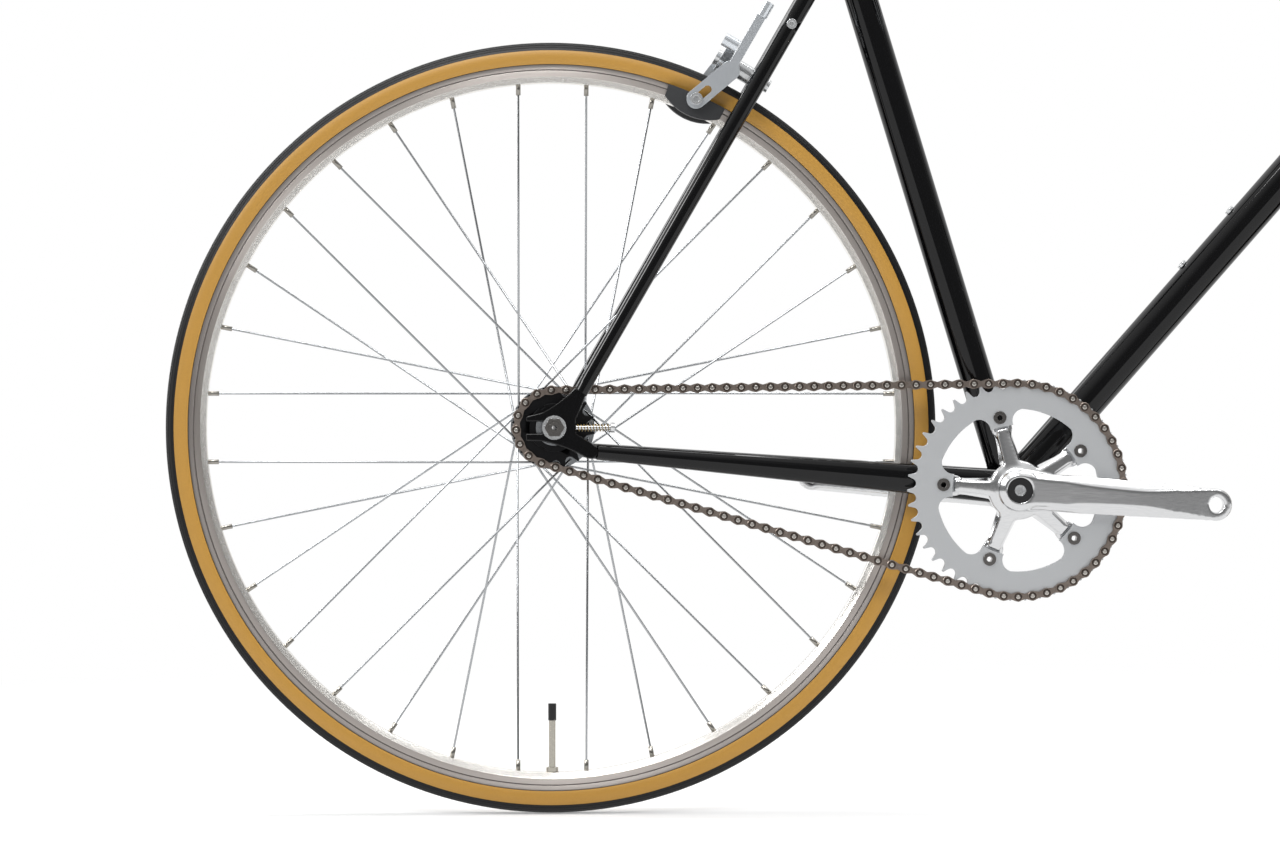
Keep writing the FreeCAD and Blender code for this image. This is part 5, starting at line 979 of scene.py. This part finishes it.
# %% [markdown]
# ## Grips
# A grip is moulded in one piece with the flange at its inner end, and a plug closes the bar.
# The axis of each grip is read from its solid. The ribs follow from a pitch and a depth.

# %% Ribbed grips
GRIP_RADIUS = 15.4
GRIP_BORE = 11.2
FLANGE_RADIUS = 18.9
FLANGE_WIDTH = 4.0
PLUG_RADIUS = 15.0
PLUG_HEIGHT = 3.0
RIB_PITCH = 4.5
RIB_DEPTH = 1.1
RIB_PLAIN = 9.0
RIB_STEPS = 6
AXIS_CLEAR = 0.2
PLUG_FACE_IN = 2.4
PLUG_EDGE_DEPTH = 0.7
PLUG_EDGE_IN = 0.8
PLUG_WALL_SHARE = 0.7
SLEEVE_EDGE = 0.3
FLANGE_RUN = 2.0
FLANGE_ROOT = 0.8
FLANGE_ROUND = 0.6
FLANGE_FACE_IN = 1.6
GRIP_END_BAND = 6.0


def grip_outline(length):
    """Distance from the outer end and radius, in millimetres, round one grip with its plug."""
    sleeve_end = length - FLANGE_WIDTH
    outline = [(0, AXIS_CLEAR), (0, PLUG_RADIUS - PLUG_FACE_IN)]
    outline += [(PLUG_EDGE_DEPTH, PLUG_RADIUS - PLUG_EDGE_IN), (PLUG_HEIGHT * PLUG_WALL_SHARE, PLUG_RADIUS)]
    outline.append((PLUG_HEIGHT, GRIP_RADIUS - SLEEVE_EDGE))
    place = PLUG_HEIGHT + RIB_PLAIN
    while place + RIB_PITCH < sleeve_end - RIB_PLAIN:
        for step in range(RIB_STEPS):
            wave = cos(2 * pi * step / RIB_STEPS)
            outline.append((place + RIB_PITCH * step / RIB_STEPS, GRIP_RADIUS - RIB_DEPTH * (1 - wave) / 2))
        place += RIB_PITCH
    edge = FLANGE_RADIUS - FLANGE_ROUND
    outline += [(place, GRIP_RADIUS), (sleeve_end - FLANGE_RUN, GRIP_RADIUS)]
    outline += [(sleeve_end, GRIP_RADIUS + FLANGE_ROOT), (sleeve_end + FLANGE_ROOT, edge)]
    outline += [(sleeve_end + FLANGE_WIDTH / 2, FLANGE_RADIUS), (length - FLANGE_ROUND, edge)]
    outline += [(length, FLANGE_RADIUS - FLANGE_FACE_IN), (length, GRIP_BORE)]
    return outline + [(2 * PLUG_HEIGHT, GRIP_BORE), (2 * PLUG_HEIGHT, AXIS_CLEAR)]


grip_corners = [corner.co for corner in frame["nodes"]["grips"].data.vertices]
grip_shapes = bmesh.new()
for side in (1, -1):
    own = [co for co in grip_corners if co.y * side > 0]
    ends = []
    for edge in (max(co.y * side for co in own), min(co.y * side for co in own)):
        rim = [co for co in own if abs(co.y * side - edge) < GRIP_END_BAND * MM]
        low, high = (Vector([pick(co[k] for co in rim) for k in range(3)]) for pick in (min, max))
        ends.append((low + high) / 2)
    along = (ends[1] - ends[0]).normalized()
    reach = [co.dot(along) for co in own]
    start = ends[0] + along * (min(reach) - ends[0].dot(along))
    mesh = turned_mesh("grip", grip_outline((max(reach) - min(reach)) / MM), [grip_rubber])
    place = Vector((0, 1, 0)).rotation_difference(along).to_matrix().to_4x4()
    mesh.transform(Matrix.Translation(start) @ place)
    grip_shapes.from_mesh(mesh)
grip_mesh = closed(grip_shapes, "ribbed_grips", grip_rubber)
dress(new_object("grips_ribbed", grip_mesh), "grips")
print("grip faces", len(grip_mesh.polygons))

# %% [markdown]
# ## Saddle
# The cover is pulled over foam: crowned across, drawn in at the sides, wide at the tail and narrow
# at the nose, with a shallow channel along the middle.
# Two rows of stitches, placed by Geometry Nodes, follow its edges.

# %% Padded cover
# Rows give a place from tail to nose and a share of the full width or height.
SADDLE_PLAN = ((0.0, 0.62), (0.06, 0.92), (0.2, 1.0), (0.42, 0.74), (0.62, 0.42), (0.84, 0.28), (0.97, 0.23),
               (1.0, 0.14))
SADDLE_CROWN = ((0.0, 0.35), (0.06, 0.75), (0.2, 1.0), (0.42, 0.92), (0.62, 0.72), (0.84, 0.54), (0.97, 0.42),
                (1.0, 0.25))
SADDLE_ROWS = 90
SADDLE_COLUMNS = 44
CHANNEL_DEPTH = 3.0
CHANNEL_HALF = 9.0
CHANNEL_FADE = 0.5
# Round ends: the share of the length that each takes, and of the width and height left at its tip
TAIL_ROUND = 0.05
NOSE_ROUND = 0.03
TIP_WIDTH = 0.35
TIP_HEIGHT = 0.15
SIDE_POWER = 0.9
TOP_POWER = 0.7
SADDLE_SHARP_FROM = radians(50)
pad_low, pad_high = (Vector(corner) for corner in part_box("saddle_pad"))
pad_size = pad_high - pad_low


def saddle_point(along, turn):
    """A place on the cover: 0 to 1 from tail to nose, and an angle over the top from side to side."""
    end = min(1, along / TAIL_ROUND, (1 - along) / NOSE_ROUND)
    taper = sqrt(max(0, 1 - (1 - end) ** 2))
    half = pad_size.y / 2 * eased(SADDLE_PLAN, along) * (TIP_WIDTH + (1 - TIP_WIDTH) * taper)
    height = pad_size.z * eased(SADDLE_CROWN, along) * (TIP_HEIGHT + (1 - TIP_HEIGHT) * taper)
    wave = cos(turn)
    side = half * copysign(abs(wave) ** SIDE_POWER, wave)
    fade = max(0, sin(pi * along)) ** CHANNEL_FADE
    dip = CHANNEL_DEPTH * MM * exp(-(side / (CHANNEL_HALF * MM)) ** 2) * fade
    up = height * max(0, sin(turn)) ** TOP_POWER - dip * (height / pad_size.z)
    return Vector((pad_low.x + pad_size.x * along, side, pad_low.z + max(0, up)))


cover = bmesh.new()
walled(cover, [[cover.verts.new(saddle_point(row / SADDLE_ROWS, pi * k / SADDLE_COLUMNS))
                for k in range(SADDLE_COLUMNS + 1)] for row in range(SADDLE_ROWS + 1)])
bmesh.ops.recalc_face_normals(cover, faces=cover.faces)
shade(cover, SADDLE_SHARP_FROM)
saddle_mesh = closed(cover, "saddle_cover", saddle_leather)
saddle = dress(new_object("saddle_cover", saddle_mesh), "saddle_pad")
print("saddle faces", len(saddle_mesh.polygons))

# %% Stitches along both edges
STITCH_PITCH = 5.0
STITCH_LENGTH = 3.4
STITCH_RADIUS = 0.45
STITCH_SIDES = 8
SEAM_TURN = 0.42
SEAM_SPAN = (0.05, 0.95)
SEAM_POINTS = 60
seam_thread = finish("waxed grey thread", "#6A6A6C", "#4E4E50", 0.4, (0.5, 0.65), lift=0.02)
seams = bpy.data.meshes.new("seam_lines")
seam_corners = [saddle_point(SEAM_SPAN[0] + (SEAM_SPAN[1] - SEAM_SPAN[0]) * k / SEAM_POINTS, turn)
                for turn in (SEAM_TURN, pi - SEAM_TURN) for k in range(SEAM_POINTS + 1)]
seam_edges = [(row * (SEAM_POINTS + 1) + k, row * (SEAM_POINTS + 1) + k + 1)
              for row in range(2) for k in range(SEAM_POINTS)]
seams.from_pydata(seam_corners, seam_edges, [])
tree, sizes = geometry_tree("stitched seams", {
    "Stitch pitch": STITCH_PITCH * MM, "Stitch length": STITCH_LENGTH * MM,
    "Thread radius": STITCH_RADIUS * MM})
lines = add(tree, "GeometryNodeMeshToCurve", {"Mesh": sizes.outputs["Geometry"]})
places = add(tree, "GeometryNodeCurveToPoints", {"Curve": lines, "Length": sizes.outputs["Stitch pitch"]},
             mode="LENGTH")
thread = add(tree, "GeometryNodeMeshCylinder", {
    "Vertices": STITCH_SIDES, "Radius": sizes.outputs["Thread radius"],
    "Depth": sizes.outputs["Stitch length"]})
facing = add(tree, "FunctionNodeAlignRotationToVector", {"Vector": places.outputs["Tangent"]}, axis="Z")
stitches = add(tree, "GeometryNodeInstanceOnPoints", {
    "Points": places.outputs["Points"], "Instance": thread, "Rotation": facing})
close_tree(tree, stitches, seam_thread)
stitch_mesh = baked("saddle_stitches", seams, tree)
stitching = new_object("saddle_stitches", stitch_mesh)
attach(stitching, node_body["saddle_pad"])
print("stitch faces", len(stitch_mesh.polygons))

# %% [markdown]
# ## All the other pieces
# The nodes that the cells above remake are listed, and each of the others gets a rounded copy.

# %% Round the rest
REMADE = {end + piece for end in ("rear", "front") for piece in ("_tyre", "_rim", "_spokes")}
REMADE |= set(link_kinds) | set(FORGED) | {"grips", "saddle_pad"}
EDGE_ROUND = {"track_ends": 1.1, "chainring": 0.3, "cog": 0.3, "boss_bolts": 0.8}
EDGE_USUAL = 0.4
dark_steel = finish("blackened steel", "#8A8785", "#625F5D", 0.6, (0.16, 0.26), 1.0)
finished = {}
for node in sorted(set(frame["nodes"]) - REMADE):
    material = dark_steel if node == "chainring_bolts" else None
    finished[node] = rounded_copy(node, EDGE_ROUND.get(node, EDGE_USUAL), material)
print("rounded", len(finished))

# %% [markdown]
# ## Pieces of two materials
# Some solids join things of different materials: the caps round the crank bolts, the nuts on the axles,
# the springs of the adjusters, the valve on its tube, and the bolts of the brake pads.
# Each face takes its material by where it lies.

# %% Second materials by place
CAP_FROM = 5.3
SPRING_BAND = (2.3, 3.9)
SCREW_SIDE = 63.0
VALVE_CAP_TO = 259.0
VALVE_TO = 301.0
PAD_BACK = 24.1
NUT_OUTSIDE = 9.0
nut_steel = finish("hardened nut steel", "#8C8986", "#6C6966", 0.6, (0.2, 0.3), 1.0)
black_plastic = finish("moulded black plastic", "#161617", "#0E0E0F", 0.6, (0.3, 0.42), lift=0.01)
spring_brass = finish("brass plated spring wire", "#A58B55", "#84703F", 0.5, (0.24, 0.36), 1.0)
valve_metal = finish("nickel plated valve stem", "#D3CFC6", "#AAA598", 0.5, (0.16, 0.26), 1.0)


def second_material(node, material, rule, spots=lambda mesh, face: [face.center]):
    """Gives a material to faces with a spot, by default the middle, that passes the rule in millimetres."""
    mesh = finished[node].data
    mesh.materials.append(material)
    index = len(mesh.materials) - 1
    for face in mesh.polygons:
        if any(rule(spot / MM) for spot in spots(mesh, face)):
            face.material_index = index


def face_corners(mesh, face):
    return [mesh.vertices[corner].co for corner in face.vertices]


def off_axis(spot, axis):
    return hypot(spot.x - axis.x / MM, spot.z - axis.z / MM)


second_material("crank_bolts", black_plastic, lambda spot: off_axis(spot, crank_centre) > CAP_FROM,
                face_corners)
for node in ("rear_axle", "front_axle"):
    nut_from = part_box(node)[1][1] / MM - NUT_OUTSIDE
    second_material(node, nut_steel, lambda spot: abs(spot.y) > nut_from, face_corners)
screw_height = rear_axle.z / MM
second_material("axle_adjusters", spring_brass, lambda spot: SPRING_BAND[0] < hypot(
    abs(spot.y) - SCREW_SIDE, spot.z - screw_height) < SPRING_BAND[1])
for end, axle in axles.items():
    node = end + "_inner_tube"
    second_material(node, valve_metal, lambda spot: VALVE_CAP_TO < off_axis(spot, axle) < VALVE_TO)
    second_material(node, black_plastic, lambda spot: off_axis(spot, axle) < VALVE_CAP_TO)
    for side in ("right", "left"):
        second_material(f"{end}_{side}_brake_pad", zinc_steel, lambda spot: abs(spot.y) > PAD_BACK)
print("two-material pieces done")

# %% Measure and finish
low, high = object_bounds()
print("visual box", [round(v, 3) for v in high - low])
